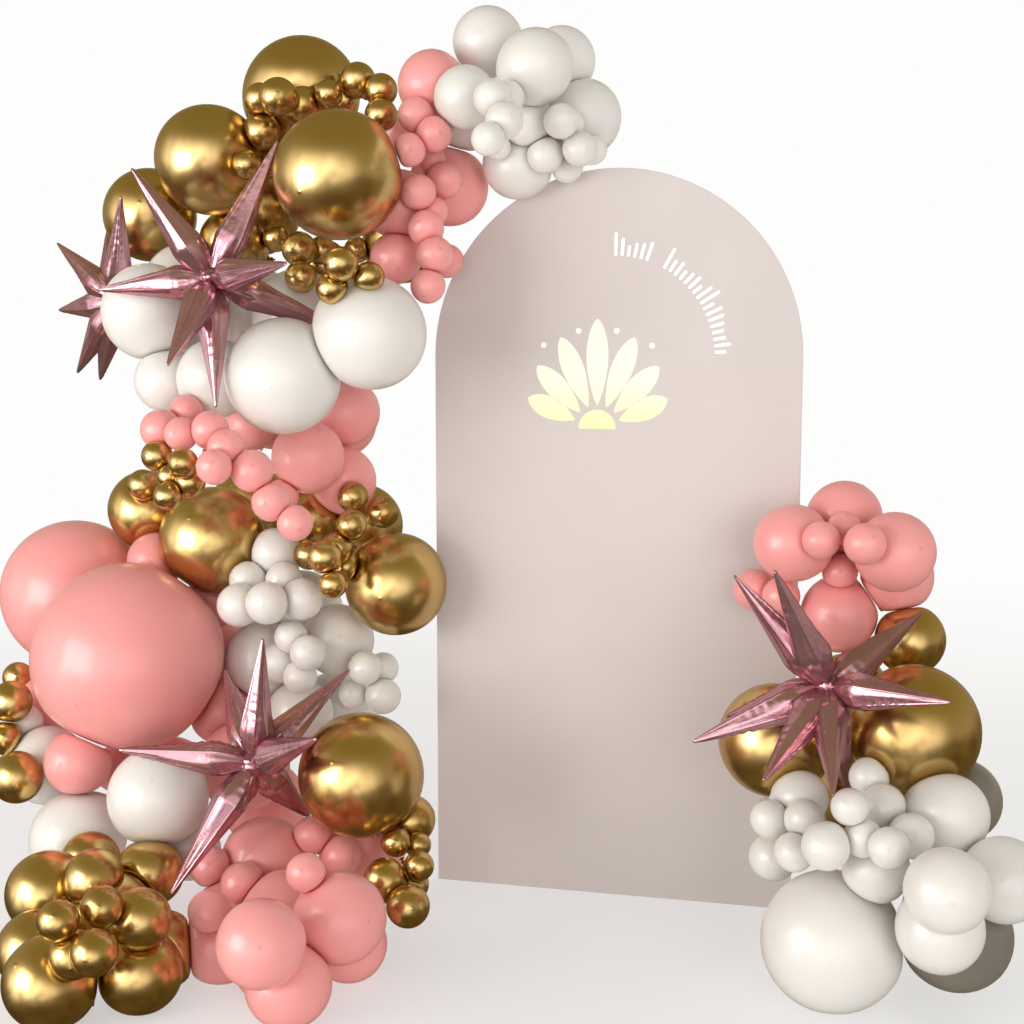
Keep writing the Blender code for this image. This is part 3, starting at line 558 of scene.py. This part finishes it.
# ================================================================ materials
class Graph:
    """A material's node tree, with a few short ways to add to it."""

    def __init__(self, name):
        self.mat = bpy.data.materials.new(name)
        self.mat.use_nodes = True
        self.nodes, self.links = self.mat.node_tree.nodes, self.mat.node_tree.links
        self.shader = self.nodes["Principled BSDF"]

    def put(self, kind, **props):
        node = self.nodes.new("ShaderNode" + kind)
        for key, value in props.items():
            setattr(node, key, value)
        return node

    def set(self, **values):
        for key, value in values.items():
            socket = self.shader.inputs[key.replace("_", " ").title().replace("Ior", "IOR")]
            socket.default_value = value

    def attribute(self, name):
        return self.put("Attribute", attribute_name=name).outputs["Fac"]

    def noise(self, scale, detail=3.0, rough=0.5, stretch=None):
        coords = self.put("TexCoord")
        source = coords.outputs["Object"]
        if stretch:
            mapping = self.put("Mapping")
            mapping.inputs["Scale"].default_value = stretch
            self.links.new(source, mapping.inputs[0])
            source = mapping.outputs[0]
        tex = self.put("TexNoise")
        tex.inputs["Scale"].default_value = scale
        tex.inputs["Detail"].default_value = detail
        tex.inputs["Roughness"].default_value = rough
        self.links.new(source, tex.inputs["Vector"])
        return tex.outputs["Fac"]

    def span(self, value, a, b, lo=0.0, hi=1.0, smooth=False):
        node = self.put("MapRange", interpolation_type="SMOOTHSTEP" if smooth else "LINEAR")
        for key, x in (("From Min", a), ("From Max", b), ("To Min", lo), ("To Max", hi)):
            node.inputs[key].default_value = x
        self.links.new(value, node.inputs["Value"])
        return node.outputs[0]

    def blend(self, factor, a, b, mode="MIX"):
        node = self.put("Mix", data_type="RGBA", blend_type=mode)
        node.clamp_factor = True
        for socket, x in ((node.inputs[0], factor), (node.inputs[6], a), (node.inputs[7], b)):
            if isinstance(x, bpy.types.NodeSocket):
                self.links.new(x, socket)
            elif isinstance(x, tuple):
                socket.default_value = (*x, 1.0)
            else:
                socket.default_value = x
        return node.outputs[2]

    def math(self, op, a, b):
        node = self.put("Math", operation=op)
        for socket, x in ((node.inputs[0], a), (node.inputs[1], b)):
            if isinstance(x, bpy.types.NodeSocket):
                self.links.new(x, socket)
            else:
                socket.default_value = x
        return node.outputs[0]

    def feed(self, source, name):
        self.links.new(source, self.shader.inputs[name])

    def bump(self, height, strength, distance):
        node = self.put("Bump")
        node.inputs["Strength"].default_value = strength
        node.inputs["Distance"].default_value = distance
        self.links.new(height, node.inputs["Height"])
        self.links.new(node.outputs[0], self.shader.inputs["Normal"])


def latex(name, light, deep, painted_shade, nipple, rough, subsurface, radius):
    """Blown latex: paler where it is stretched, deeper at the neck and at the thick
    spot opposite it, with a soft gloss.  The colour given as painted_shade is painted
    shade: a dark colour for the balloons at the back whose tone is 2, which sit in shadow."""
    g = Graph(name)
    own = g.attribute("tone")
    tone = g.blend(own, light, tuple(0.95 * a for a in light))
    cloud = g.span(g.noise(2.6, 1.0), 0.30, 0.70, 0.0, 0.16, True)
    tone = g.blend(cloud, tone, deep)
    # painted shade: balloons whose tone is 2 take this dark colour, standing in for their shadow at the back
    tone = g.blend(g.span(own, 1.5, 2.0), tone, painted_shade)
    tone = g.blend(g.span(g.attribute("pole"), 0.80, 0.97, 0.0, 1.0, True), tone, nipple)
    tone = g.blend(g.span(g.attribute("spot"), 0.0075, 0.0035, 0.0, 0.30, True), tone, nipple)
    g.feed(tone, "Base Color")
    g.feed(g.span(g.noise(6.0, 2.0), 0.3, 0.7, rough - 0.02, rough + 0.03), "Roughness")
    g.set(subsurface_weight=subsurface, subsurface_scale=0.03, coat_weight=0.30, coat_roughness=0.15)
    g.shader.inputs["Subsurface Radius"].default_value = radius
    g.bump(g.noise(260.0, 2.0), 0.03, 0.0005)
    return g.mat


def chrome_latex(name):
    """Chrome-effect gold latex: satin mirror, darker where it is thick."""
    g = Graph(name)
    tone = g.blend(g.attribute("tone"), (0.68, 0.475, 0.170), (0.63, 0.430, 0.145))
    cloud = g.span(g.noise(2.4, 2.0), 0.35, 0.7, 0.0, 0.35, True)
    tone = g.blend(cloud, tone, (0.58, 0.380, 0.100))
    tone = g.blend(g.span(g.attribute("pole"), 0.78, 0.97, 0.0, 1.0, True), tone, (0.24, 0.15, 0.035))
    tone = g.blend(g.span(g.attribute("spot"), 0.0080, 0.0035, 0.0, 0.35, True), tone, (0.26, 0.17, 0.045))
    g.feed(tone, "Base Color")
    g.feed(g.span(g.noise(4.0, 2.0), 0.3, 0.7, 0.245, 0.28), "Roughness")
    g.set(metallic=1.0, coat_weight=1.0, coat_roughness=0.28)
    g.shader.inputs["Specular Tint"].default_value = (0.55, 0.42, 0.20, 1.0)
    g.bump(g.noise(24.0, 2.0), 0.02, 0.0016)
    return g.mat


def foil(name):
    """Rose gold metallised film with fine creases that fan out from the hub, darker along the sealed edges and folds,
    and with painted shade at the pinched hub and cone bases.
    """
    g = Graph(name)
    tone = g.blend(g.span(g.noise(10.0, 2.0), 0.35, 0.65), (0.58, 0.325, 0.36), (0.47, 0.255, 0.29))
    # darker along the sealed edges and folds (the film's own dark joints), and painted shade at the pinched hub and the
    # base of each cone
    tone = g.blend(g.attribute("seam_and_hub_shade"), tone, (0.38, 0.18, 0.22))
    g.feed(tone, "Base Color")
    g.feed(g.span(g.noise(16.0, 2.0), 0.3, 0.7, 0.15, 0.22), "Roughness")
    g.set(metallic=0.86)
    g.shader.inputs["Specular Tint"].default_value = (0.80, 0.62, 0.66, 1.0)
    g.bump(g.noise(46.0, 3.0, 0.6), 0.45, 0.0022)
    return g.mat


def board_paint(name):
    """Matte pinkish beige paint, rolled on, with a paler band round the edge."""
    g = Graph(name)
    cloud = g.span(g.noise(1.3, 3.0), 0.35, 0.65, 0.0, 1.0, True)
    tone = g.blend(cloud, (0.610, 0.548, 0.522), (0.575, 0.514, 0.490))
    coords = g.put("TexCoord")
    split = g.put("SeparateXYZ")
    g.links.new(coords.outputs["Normal"], split.inputs[0])
    side = g.math("ABSOLUTE", split.outputs["Y"], 0.0)
    tone = g.blend(g.span(side, 0.85, 0.3, 0.0, 1.0, True), tone, (0.86, 0.80, 0.77))
    g.feed(tone, "Base Color")
    g.feed(g.span(g.noise(7.0, 3.0), 0.3, 0.7, 0.48, 0.60), "Roughness")
    g.bump(g.noise(420.0, 3.0), 0.10, 0.0008)
    return g.mat


def vinyl(name, low, high, z0, z1):
    """Cut sheet laid on the board: one colour at the foot, another at the top."""
    g = Graph(name)
    coords = g.put("TexCoord")
    split = g.put("SeparateXYZ")
    g.links.new(coords.outputs["Object"], split.inputs[0])
    wave = g.math("MULTIPLY", g.noise(9.0, 2.0), 0.05)
    height = g.math("ADD", split.outputs["Z"], wave)
    g.feed(g.blend(g.span(height, z0, z1, 0.0, 1.0, True), low, high), "Base Color")
    g.feed(g.span(g.noise(60.0, 2.0), 0.3, 0.7, 0.32, 0.42), "Roughness")
    g.bump(g.noise(300.0, 2.0), 0.05, 0.0004)
    return g.mat


# ================================================================ balloons
# painted shade: these whites are painted greyer than the others because they sit in shadow at the back
PAINTED_SHADE_BALLOONS = ("white_column_right_1", "white_column_back_1")     # greyer than the other whites


def unit_noise(k, salt):
    """A fixed number between 0 and 1 for the k-th balloon."""
    x = math.sin(12.9898 * (k + 1) + 78.233 * salt) * 43758.5453
    return x - math.floor(x)


def balloon_rows(rings, knot, r):
    """(axial, radial, pole) rows of a balloon of radius 1, blown to r metres, from the
    thick spot, over the body, down the neck, round the knot and out to the rolled lip.
    knot is the knot's radius; pole runs from 0 at the thick spot to 1 at the knot."""
    rows = []
    end = math.pi - math.asin(min(0.9, 3.0 * knot))
    first = 0.013 / (math.pi * r)
    steps = [0.0015 / (math.pi * r), 0.0035 / (math.pi * r), 0.0055 / (math.pi * r), 0.008 / (math.pi * r), first]
    steps += [first + (end / math.pi - first) * (k + 1) / rings for k in range(rings)]
    for i, s in enumerate(steps):
        phi = math.pi * s
        swell = 1.0 + 0.045 * ((1.0 - math.cos(phi)) / 2.0) ** 5 + (0.0009, 0.0006, 0.0002, 0.0, 0.0)[min(i, 4)] / r
        rows.append((-math.cos(phi) * swell, math.sin(phi) * swell, s * 0.8 / (end / math.pi)))
    a0 = rows[-1][0]
    for da, q, p in ((0.55, 2.25, 0.84), (1.05, 1.6, 0.88), (1.6, 1.08, 0.92), (2.2, 0.74, 0.96), (2.7, 0.62, 0.98),
                     (2.85, 0.86, 1.0), (3.05, 1.02, 1.0), (3.35, 1.06, 1.0), (3.65, 0.95, 1.0), (3.8, 0.6, 1.0),
                     (4.15, 0.5, 0.98), (4.65, 0.72, 0.97), (5.0, 1.05, 0.97), (5.15, 1.14, 1.0), (5.22, 1.02, 1.0),
                     (4.95, 0.5, 1.0)):
        rows.append((a0 + da * knot, q * knot, p))
    return rows


def free_way(k, hung, touching):
    """The direction in which balloon k's neck has the most room, away from the front."""
    b = hung[k]
    inward = sum((way for way, d in touching), np.zeros(3))
    back = np.array((0.0, 0.55, -0.15)) + (b["c"] - STATION) / np.linalg.norm(b["c"] - STATION) * 0.6
    inward = inward + back
    inward = inward / np.linalg.norm(inward)
    front = (STATION - b["c"]) / np.linalg.norm(STATION - b["c"])
    near = [o for o in hung if o is not b and np.linalg.norm(o["c"] - b["c"]) < o["r"] + b["r"] * 1.6]
    best = None
    for i in range(160):
        z = 1.0 - 2.0 * (i + 0.5) / 160
        t = 2.399963 * i + 0.7 * k
        d = np.array((math.cos(t) * math.sqrt(1 - z * z), math.sin(t) * math.sqrt(1 - z * z), z))
        end = b["c"] + d * b["r"] * 1.2
        room = end[2] / b["r"]
        for o in near:
            room = min(room, (np.linalg.norm(end - o["c"]) - o["r"]) / b["r"])
        score = float(d @ inward) + 1.6 * min(room, 0.25) - 1.5 * max(0.0, float(d @ front) + 0.1)
        if best is None or score > best[0]:
            best = (score, d)
    return best[1]


def contact_planes(hung):
    """For each balloon the flat places where it presses: (direction, distance)."""
    planes = [[] for _ in hung]
    for i, a in enumerate(hung):
        for j in range(i + 1, len(hung)):
            b = hung[j]
            way = b["c"] - a["c"]
            dist = float(np.linalg.norm(way))
            if dist >= a["r"] + b["r"]:
                continue
            way = way / dist
            near = (dist * dist + a["r"] ** 2 - b["r"] ** 2) / (2 * dist)
            near = min(max(near, 0.25 * a["r"]), dist - 0.25 * b["r"])
            planes[i].append((way, near))
            planes[j].append((-way, dist - near))
        if a["c"][2] < a["r"] * 1.02:
            planes[i].append((np.array((0.0, 0.0, -1.0)), float(a["c"][2])))
        q = nearest_on_board(a["c"])
        away = float(np.linalg.norm(q - a["c"]))
        if away < a["r"]:
            planes[i].append(((q - a["c"]) / away, away - 0.0005))
    return planes


def press(points, planes, hardness):
    """Moves points (about a balloon's centre) in to the flat places, rounding the rim
    of each as stretched skin does."""
    reach = np.linalg.norm(points, axis=1)
    reach = np.maximum(reach, 1e-9)
    way = points / reach[:, None]
    total = np.ones(len(points))
    for w, d in planes:
        total += np.maximum(reach * (way @ w) / d, 0.0) ** hardness
    return points * (total ** (-1.0 / hardness))[:, None]


def balloon_shape(k, hung, planes):
    """Vertices, faces, pole values and distances from the thick spot of balloon k."""
    b = hung[k]
    r = b["r"]
    if b["sheet"] > 70:
        segments, rings = 84, 46
    elif b["sheet"] > 40:
        segments, rings = 54, 28
    elif b["sheet"] >= 27:
        segments, rings = 42, 22
    else:
        segments, rings = 30, 17
    knot = min(max(0.0085 / r, 0.045), 0.13)
    rows = balloon_rows(rings, knot, r)
    neck = free_way(k, hung, planes[k])
    side = np.cross(neck, (0.3, -0.2, 0.93))
    side = side / np.linalg.norm(side)
    other = np.cross(neck, side)
    turn = 2 * math.pi * np.arange(segments) / segments
    ring = np.cos(turn)[:, None] * side + np.sin(turn)[:, None] * other
    fold = np.sin(9.0 * turn + 6.0 * unit_noise(k, 3))
    pts, pole = [neck * rows[0][0] * 1.0015], [0.0]
    for a, q, p in rows:
        pleat = 0.0
        if p > 0.74:
            pleat = 0.10 * min(1.0, (p - 0.74) / 0.2)
        pts.append(neck * a + ring * (q * (1.0 + pleat * fold))[:, None])
        pole += [p] * segments
    pts.append(neck * (rows[-1][0] - 0.1 * knot))
    pole.append(1.0)
    pts = np.vstack([np.atleast_2d(p) for p in pts])
    spot = np.minimum(np.linalg.norm(pts + neck, axis=1) * r, 0.05)
    along_neck = pts @ neck
    pts = pts + np.outer(along_neck, neck) * (0.012 + 0.016 * unit_noise(k, 1))
    pts = press(pts * r * (0.998 + 0.008 * unit_noise(k, 2)), planes[k], 20.0 if b["sheet"] >= 27 else 16.0)
    faces = []
    for s in range(segments):
        faces.append((0, 1 + (s + 1) % segments, 1 + s))
    for i in range(len(rows) - 1):
        lo, hi = 1 + i * segments, 1 + (i + 1) * segments
        for s in range(segments):
            t = (s + 1) % segments
            faces.append((lo + s, lo + t, hi + t, hi + s))
    last, lo = len(pts) - 1, 1 + (len(rows) - 1) * segments
    for s in range(segments):
        faces.append((last, lo + s, lo + (s + 1) % segments))
    return b["c"] + pts, faces, pole, list(spot)


def add_piece(name, coords, faces, values, mat, smooth=True):
    """A mesh piece with point attributes, riding on the one body."""
    mesh = bpy.data.meshes.new(name)
    mesh.from_pydata(coords, [], faces)
    for key, data in values.items():
        layer = mesh.attributes.new(key, "FLOAT", "POINT")
        layer.data.foreach_set("value", np.asarray(data, dtype=np.float32))
    mesh.polygons.foreach_set("use_smooth", [smooth] * len(mesh.polygons))
    mesh.materials.append(mat)
    mesh.update()
    piece = bpy.data.objects.new(name, mesh)
    bpy.context.scene.collection.objects.link(piece)
    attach(piece, "root")
    return piece


def nodes_of_balloons(hung):
    """Which CAD node holds each balloon: the one with the most corners on its skin."""
    corners = {}
    for name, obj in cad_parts.items():
        if name.split("_")[0] in ("white", "pink", "gold"):
            flat = np.zeros(len(obj.data.vertices) * 3, dtype=np.float32)
            obj.data.vertices.foreach_get("co", flat)
            corners[name] = flat.reshape(-1, 3).astype(float)
    held = {}
    for k, b in enumerate(hung):
        swell = detail(b)[1]
        best = None
        for name, pts in corners.items():
            if not name.startswith(b["colour"]):
                continue
            off = np.abs(np.linalg.norm(pts - b["c"], axis=1) - b["r"] * swell)
            count = int((off < 0.0002).sum())
            if best is None or count > best[0]:
                best = (count, name)
        held.setdefault(best[1], []).append(k)
        if best[0] < 3:
            print("few corners for", b["name"], best)
    missing = [name for name in corners if name not in held]
    if missing:
        raise ValueError("no balloons for %s" % missing)
    return held


def make_balloons(hung, mats):
    planes = contact_planes(hung)
    for node, members in sorted(nodes_of_balloons(hung).items()):
        coords, faces, start = [], [], 0
        values = {"pole": [], "spot": [], "tone": []}
        for k in members:
            pts, f, p, spot = balloon_shape(k, hung, planes)
            coords.append(pts)
            faces += [tuple(start + i for i in face) for face in f]
            values["pole"] += p
            values["spot"] += spot
            # tone is a random tone per balloon, or 2 for the balloons given painted shade
            values["tone"] += [2.0 if hung[k]["name"] in PAINTED_SHADE_BALLOONS else unit_noise(k, 5)] * len(pts)
            start += len(pts)
        colour = node.split("_")[0]
        piece = add_piece("balloons_" + node, np.vstack(coords), faces, values, mats[colour])
        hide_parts(node)


# ================================================================ foil stars
def spike_rows(core, tip, k):
    """Vertices, faces and seam-and-shade values of one blown foil cone: broad facets between crisp
    folds of uneven spacing, two of them sealed edges, with short uneven puckers off the
    edges and gathers where the film is pinched at the hub.  The values darken the sealed
    edges and folds, and put painted shade on the pinched base by the hub."""
    way = tip - core
    length = float(np.linalg.norm(way))
    n = way / length
    side = np.cross(n, (0.21, 0.33, 0.92))
    side = side / np.linalg.norm(side)
    other = np.cross(n, side)
    facets = 5 + (k % 2)
    turn0 = 2 * math.pi * unit_noise(k, 11)
    folds = [turn0 + 2 * math.pi * (j + 0.24 * (unit_noise(7 * k + j, 12) - 0.5)) / facets for j in range(facets)]
    sealed = (0, facets // 2)
    # angles round the cone: each fold, close by it on both sides, and across the facet
    spots = []
    for j, a0 in enumerate(folds):
        a1 = folds[j + 1] if j + 1 < facets else folds[0] + 2 * math.pi
        for share in (0.0, 0.035, 0.10, 0.22, 0.36, 0.5, 0.64, 0.78, 0.90, 0.965):
            spots.append((a0 + (a1 - a0) * share, j, share, a1 - a0))
    phases = [6.283 * unit_noise(11 * k + j, 13) for j in range(6)]
    gathers = 8 + int(4 * unit_noise(k, 14))
    rows, seam_and_shade_rows = [], []
    stations = [0.02, 0.04, 0.06, 0.08, 0.10, 0.12] + [0.135 + 0.835 * i / 54 for i in range(55)] + [0.985]
    for t in stations:
        base = spike_radius(t, length)
        if t < 0.30:
            base = spike_radius(0.30, length) * (0.30 + 0.70 * math.sin(t / 0.30 * math.pi / 2) ** 1.25)
        swell = 0.42 + 0.35 * math.exp(-((t - 0.30) / 0.14) ** 2)
        pinch = max(0.0, 1.0 - t / 0.16)
        ring, values = [], []
        for a, j, share, wide in spots:
            local = (share - 0.5) * wide
            flat = math.cos(wide / 2) / math.cos(local)
            bow = swell * (1.0 - (2 * share - 1.0) ** 2) * (1.0 - math.cos(wide / 2))
            rad = base * (flat + bow)
            nearest = j if share < 0.5 else (j + 1) % facets
            off = min(share, 1.0 - share) * wide
            crest = math.exp(-(off / 0.05) ** 2)
            seam_and_hub_shade = 0.0
            if nearest in sealed:
                ripple = (math.sin(96.0 * t + phases[0] + 2.0 * j) + math.sin(71.0 * t + phases[1]) * math.sin(19.0 * t + phases[2]))
                rad += 0.0013 * ripple * math.exp(-off / 0.45) * min(1.0, base / 0.02) * max(0.15, math.sin(9.0 * t + phases[3] + j))
                rad += min(0.0022, base * 0.25) * crest
                seam_and_hub_shade = crest
            else:
                rad += base * 0.03 * crest
                seam_and_hub_shade = 0.35 * crest
            if share in (0.36, 0.64):
                side_of = 1.0 if share > 0.5 else -1.0
                rad += side_of * base * 0.045 * math.sin((7.0 + 3.0 * (j % 2)) * t + phases[5] + 1.7 * j)
            rad *= 1.0 + 0.11 * pinch * math.sin(gathers * a + phases[4])
            ring.append(core + way * t + (side * math.cos(a) + other * math.sin(a)) * rad)
            # painted shade: the pinched base of each cone, by the hub, is darkened as if in shadow
            values.append(max(seam_and_hub_shade, 0.75 * pinch))
        rows.append(ring)
        seam_and_shade_rows.append(values)
    m = len(rows[0])
    coords = [core + way * 0.005] + [p for ring in rows for p in ring] + [tip]
    seam_and_hub_shade = [0.0] + [v for values in seam_and_shade_rows for v in values] + [0.0]
    faces = [(0, 1 + (s + 1) % m, 1 + s) for s in range(m)]
    for i in range(len(rows) - 1):
        lo, hi = 1 + i * m, 1 + (i + 1) * m
        for s in range(m):
            t = (s + 1) % m
            faces.append((lo + s, lo + t, hi + t, hi + s))
    last, lo = len(coords) - 1, 1 + (len(rows) - 1) * m
    faces += [(last, lo + s, lo + (s + 1) % m) for s in range(m)]
    return np.array(coords), faces, seam_and_hub_shade


def hub_shape(core, radius, k):
    """The pinched film where the cones meet, given a painted shade value of 0.85 all over."""
    bm = bmesh.new()
    bmesh.ops.create_icosphere(bm, subdivisions=4, radius=1.0)
    coords = []
    for v in bm.verts:
        p = np.array(v.co)
        crease = abs(math.sin(7.0 * math.atan2(p[1], p[0]) + 3.0 * p[2] + k)) * abs(math.sin(5.0 * math.acos(max(-1.0, min(1.0, p[2]))) + k))
        coords.append(core + p * radius * (0.90 + 0.14 * crease))
    bm.verts.index_update()
    faces = [tuple(v.index for v in f.verts) for f in bm.faces]
    bm.free()
    # painted shade: 0.85 darkens the whole hub as if in shadow between the cones
    return np.array(coords), faces, [0.85] * len(coords)


def make_stars(hung, mat):
    for b in hung:
        b["R"] = b["r"] * detail(b)[1]
    for number, (name, centre, depth, tips) in enumerate(STARS):
        core, found = solve_star(name, centre, depth, tips, hung)
        coords, faces, seam_and_hub_shade, start = [], [], [], 0
        parts = [hub_shape(core, STAR_CORE * 0.78, number)]
        parts += [spike_rows(core, tip, 20 * number + k) for k, (tip, free) in enumerate(found)]
        for pts, f, s in parts:
            coords.append(pts)
            faces += [tuple(start + i for i in face) for face in f]
            seam_and_hub_shade += s
            start += len(pts)
        piece = add_piece("foil_" + name, np.vstack(coords), faces, {"seam_and_hub_shade": seam_and_hub_shade}, mat)
        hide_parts(name)


# ================================================================ the board
def make_panel(mat):
    half, spring = BOARD_WIDTH / 2, BOARD_HEIGHT - BOARD_WIDTH / 2
    outline = [(-half, 0.0), (half, 0.0)]
    outline += [(half, spring * k / 12) for k in range(1, 12)]
    outline += [(half * math.cos(math.pi * k / 180), spring + half * math.sin(math.pi * k / 180)) for k in range(181)]
    outline += [(-half, spring * (12 - k) / 12) for k in range(1, 12)]
    bm = bmesh.new()
    loop = [bm.verts.new((x, -BOARD_THICKNESS / 2, z)) for x, z in outline]
    face = bm.faces.new(loop)
    out = bmesh.ops.extrude_face_region(bm, geom=[face])
    bmesh.ops.translate(bm, vec=(0.0, BOARD_THICKNESS, 0.0),
                        verts=[g for g in out["geom"] if isinstance(g, bmesh.types.BMVert)])
    rims = [e for e in bm.edges if len(e.link_faces) == 2
            and any(len(f.verts) > 8 for f in e.link_faces)]
    bmesh.ops.bevel(bm, geom=rims, offset=0.0022, segments=3, affect="EDGES", profile=0.5)
    bmesh.ops.recalc_face_normals(bm, faces=bm.faces)
    mesh = bpy.data.meshes.new("board_panel")
    bm.to_mesh(mesh)
    bm.free()
    mesh.materials.append(mat)
    piece = bpy.data.objects.new("board_panel", mesh)
    bpy.context.scene.collection.objects.link(piece)
    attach(piece, "root")
    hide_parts("arch_board")


def on_board(u, v):
    """Where the sight line of sheet position (u, v) meets the board's face: (x, z)."""
    p, q = at(u, v, 1.0), at(u, v, 2.0)
    s = (-BOARD_THICKNESS / 2 - p[1]) / (q[1] - p[1])
    hit = p + (q - p) * s
    return float(hit[0]), float(hit[2])


def raised(bm, outline, lift):
    """A flat shape (x, z outline) raised off the board's face with a rounded rim."""
    y0 = -BOARD_THICKNESS / 2 + 0.0002
    middle = np.mean(np.array(outline), axis=0)
    rows = []
    for shrink, y in ((0.0, y0), (0.0, y0 - lift * 0.6), (0.0004, y0 - lift * 0.9), (0.0011, y0 - lift)):
        ring = []
        n = len(outline)
        for i, (x, z) in enumerate(outline):
            ax, az = outline[i - 1]
            bx, bz = outline[(i + 1) % n]
            tx, tz = bx - ax, bz - az
            size = math.hypot(tx, tz) or 1.0
            ring.append(bm.verts.new((x - tz / size * shrink * -1, y, z + tx / size * shrink * -1)))
        rows.append(ring)
    bm.faces.new(rows[-1])
    bm.faces.new(list(reversed(rows[0])))
    for a, b in zip(rows, rows[1:]):
        for i in range(len(a)):
            j = (i + 1) % len(a)
            bm.faces.new((a[i], a[j], b[j], b[i]))


def petal(cx, cz, angle, start, stop, width):
    """A rounded leaf between two distances from (cx, cz), its outline clockwise."""
    steps = 22
    left, right = [], []
    for i in range(steps + 1):
        s = i / steps
        along_way = start + (stop - start) * s
        w = width * (math.sin(math.pi * s ** 1.25) ** 0.62 if 0 < s < 1 else 0.0)
        ux, uz = math.sin(angle), math.cos(angle)
        left.append((cx + ux * along_way - uz * w / 2, cz + uz * along_way + ux * w / 2))
        right.append((cx + ux * along_way + uz * w / 2, cz + uz * along_way - ux * w / 2))
    return left[:-1] + [left[-1]] + list(reversed(right[1:-1]))


def bar(cx, cz, angle, length, width):
    """A short stroke with round ends, centred on (cx, cz)."""
    pts = []
    for end in (1, -1):
        for i in range(9):
            t = math.pi * i / 8
            a = math.cos(t) * width / 2 * end
            b = (length - width) / 2 * end + math.sin(t) * width / 2 * end
            pts.append((cx + a * math.cos(angle) + b * math.sin(angle), cz - a * math.sin(angle) + b * math.cos(angle)))
    return pts


def relief_piece(name, outlines, mat, lift):
    bm = bmesh.new()
    for outline in outlines:
        raised(bm, outline, lift)
    bmesh.ops.recalc_face_normals(bm, faces=bm.faces)
    mesh = bpy.data.meshes.new(name)
    bm.to_mesh(mesh)
    bm.free()
    mesh.materials.append(mat)
    piece = bpy.data.objects.new(name, mesh)
    bpy.context.scene.collection.objects.link(piece)
    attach(piece, "root")


def make_motif():
    """A plain fan of leaves over a half round."""
    x0, z0 = on_board(597, 430)
    outlines = []
    for k in range(-3, 4):
        outlines.append(petal(x0, z0, math.radians(22.0 * k), 0.066, 0.300 - 0.030 * abs(k), 0.060))
    for k in range(-3, 3):
        cx, cz = (x0 + 0.272 * math.sin(math.radians(22.0 * k + 11.0)), z0 + 0.272 * math.cos(math.radians(22.0 * k + 11.0)))
        if abs(k + 0.5) < 2:
            outlines.append([(cx + 0.007 * math.cos(math.pi * i / 12), cz + 0.007 * math.sin(math.pi * i / 12)) for i in range(24)])
    half = [(x0 + 0.05 * math.cos(math.pi * i / 24), z0 + 0.004 + 0.05 * math.sin(math.pi * i / 24)) for i in range(25)]
    outlines.append(half)
    mat = vinyl("motif_vinyl", (0.98, 0.80, 0.38), (1.0, 0.93, 0.74), z0 - 0.02, z0 + 0.20)
    relief_piece("board_motif", outlines, mat, 0.0012)


def make_strokes():
    """One curved row of upright strokes of uneven height, in two runs."""
    spring = BOARD_HEIGHT - BOARD_WIDTH / 2
    ends = [on_board(616, 246), on_board(722, 352)]
    angles = [math.atan2(x, z - spring) for x, z in ends]
    radius = sum(math.hypot(x, z - spring) for x, z in ends) / 2
    outlines = []
    count = 25
    for k in range(count):
        if k in (6, 7):
            continue
        a = angles[0] + (angles[1] - angles[0]) * k / (count - 1)
        length = 0.026 + 0.026 * unit_noise(k, 21) + (0.014 if k in (0, 8, 16) else 0.0)
        r = radius + length / 2 - 0.022
        outlines.append(bar(r * math.sin(a), spring + r * math.cos(a), a, length, 0.0066))
    mat = vinyl("stroke_vinyl", (0.95, 0.92, 0.86), (0.97, 0.96, 0.93), 1.5, 2.0)
    relief_piece("board_strokes", outlines, mat, 0.0012)


# ================================================================ all together
make_camera()
make_studio()
make_floor()

balloons = hang_balloons()
make_balloons(balloons, {
    # the third colour of each latex is painted shade, for the shadowed balloons at the back
    "white": latex("white_latex", (0.77, 0.747, 0.705), (0.75, 0.722, 0.675), (0.19, 0.17, 0.14), (0.64, 0.58, 0.49),
                   0.30, 0.50, (1.0, 0.82, 0.62)),
    "pink": latex("pink_latex", (0.87, 0.352, 0.338), (0.84, 0.314, 0.302), (0.50, 0.17, 0.17), (0.64, 0.15, 0.14),
                  0.32, 0.18, (1.0, 0.32, 0.30)),
    "gold": chrome_latex("gold_latex"),
})
make_stars(balloons, foil("rose_gold_foil"))
make_panel(board_paint("board_paint"))
make_motif()
make_strokes()
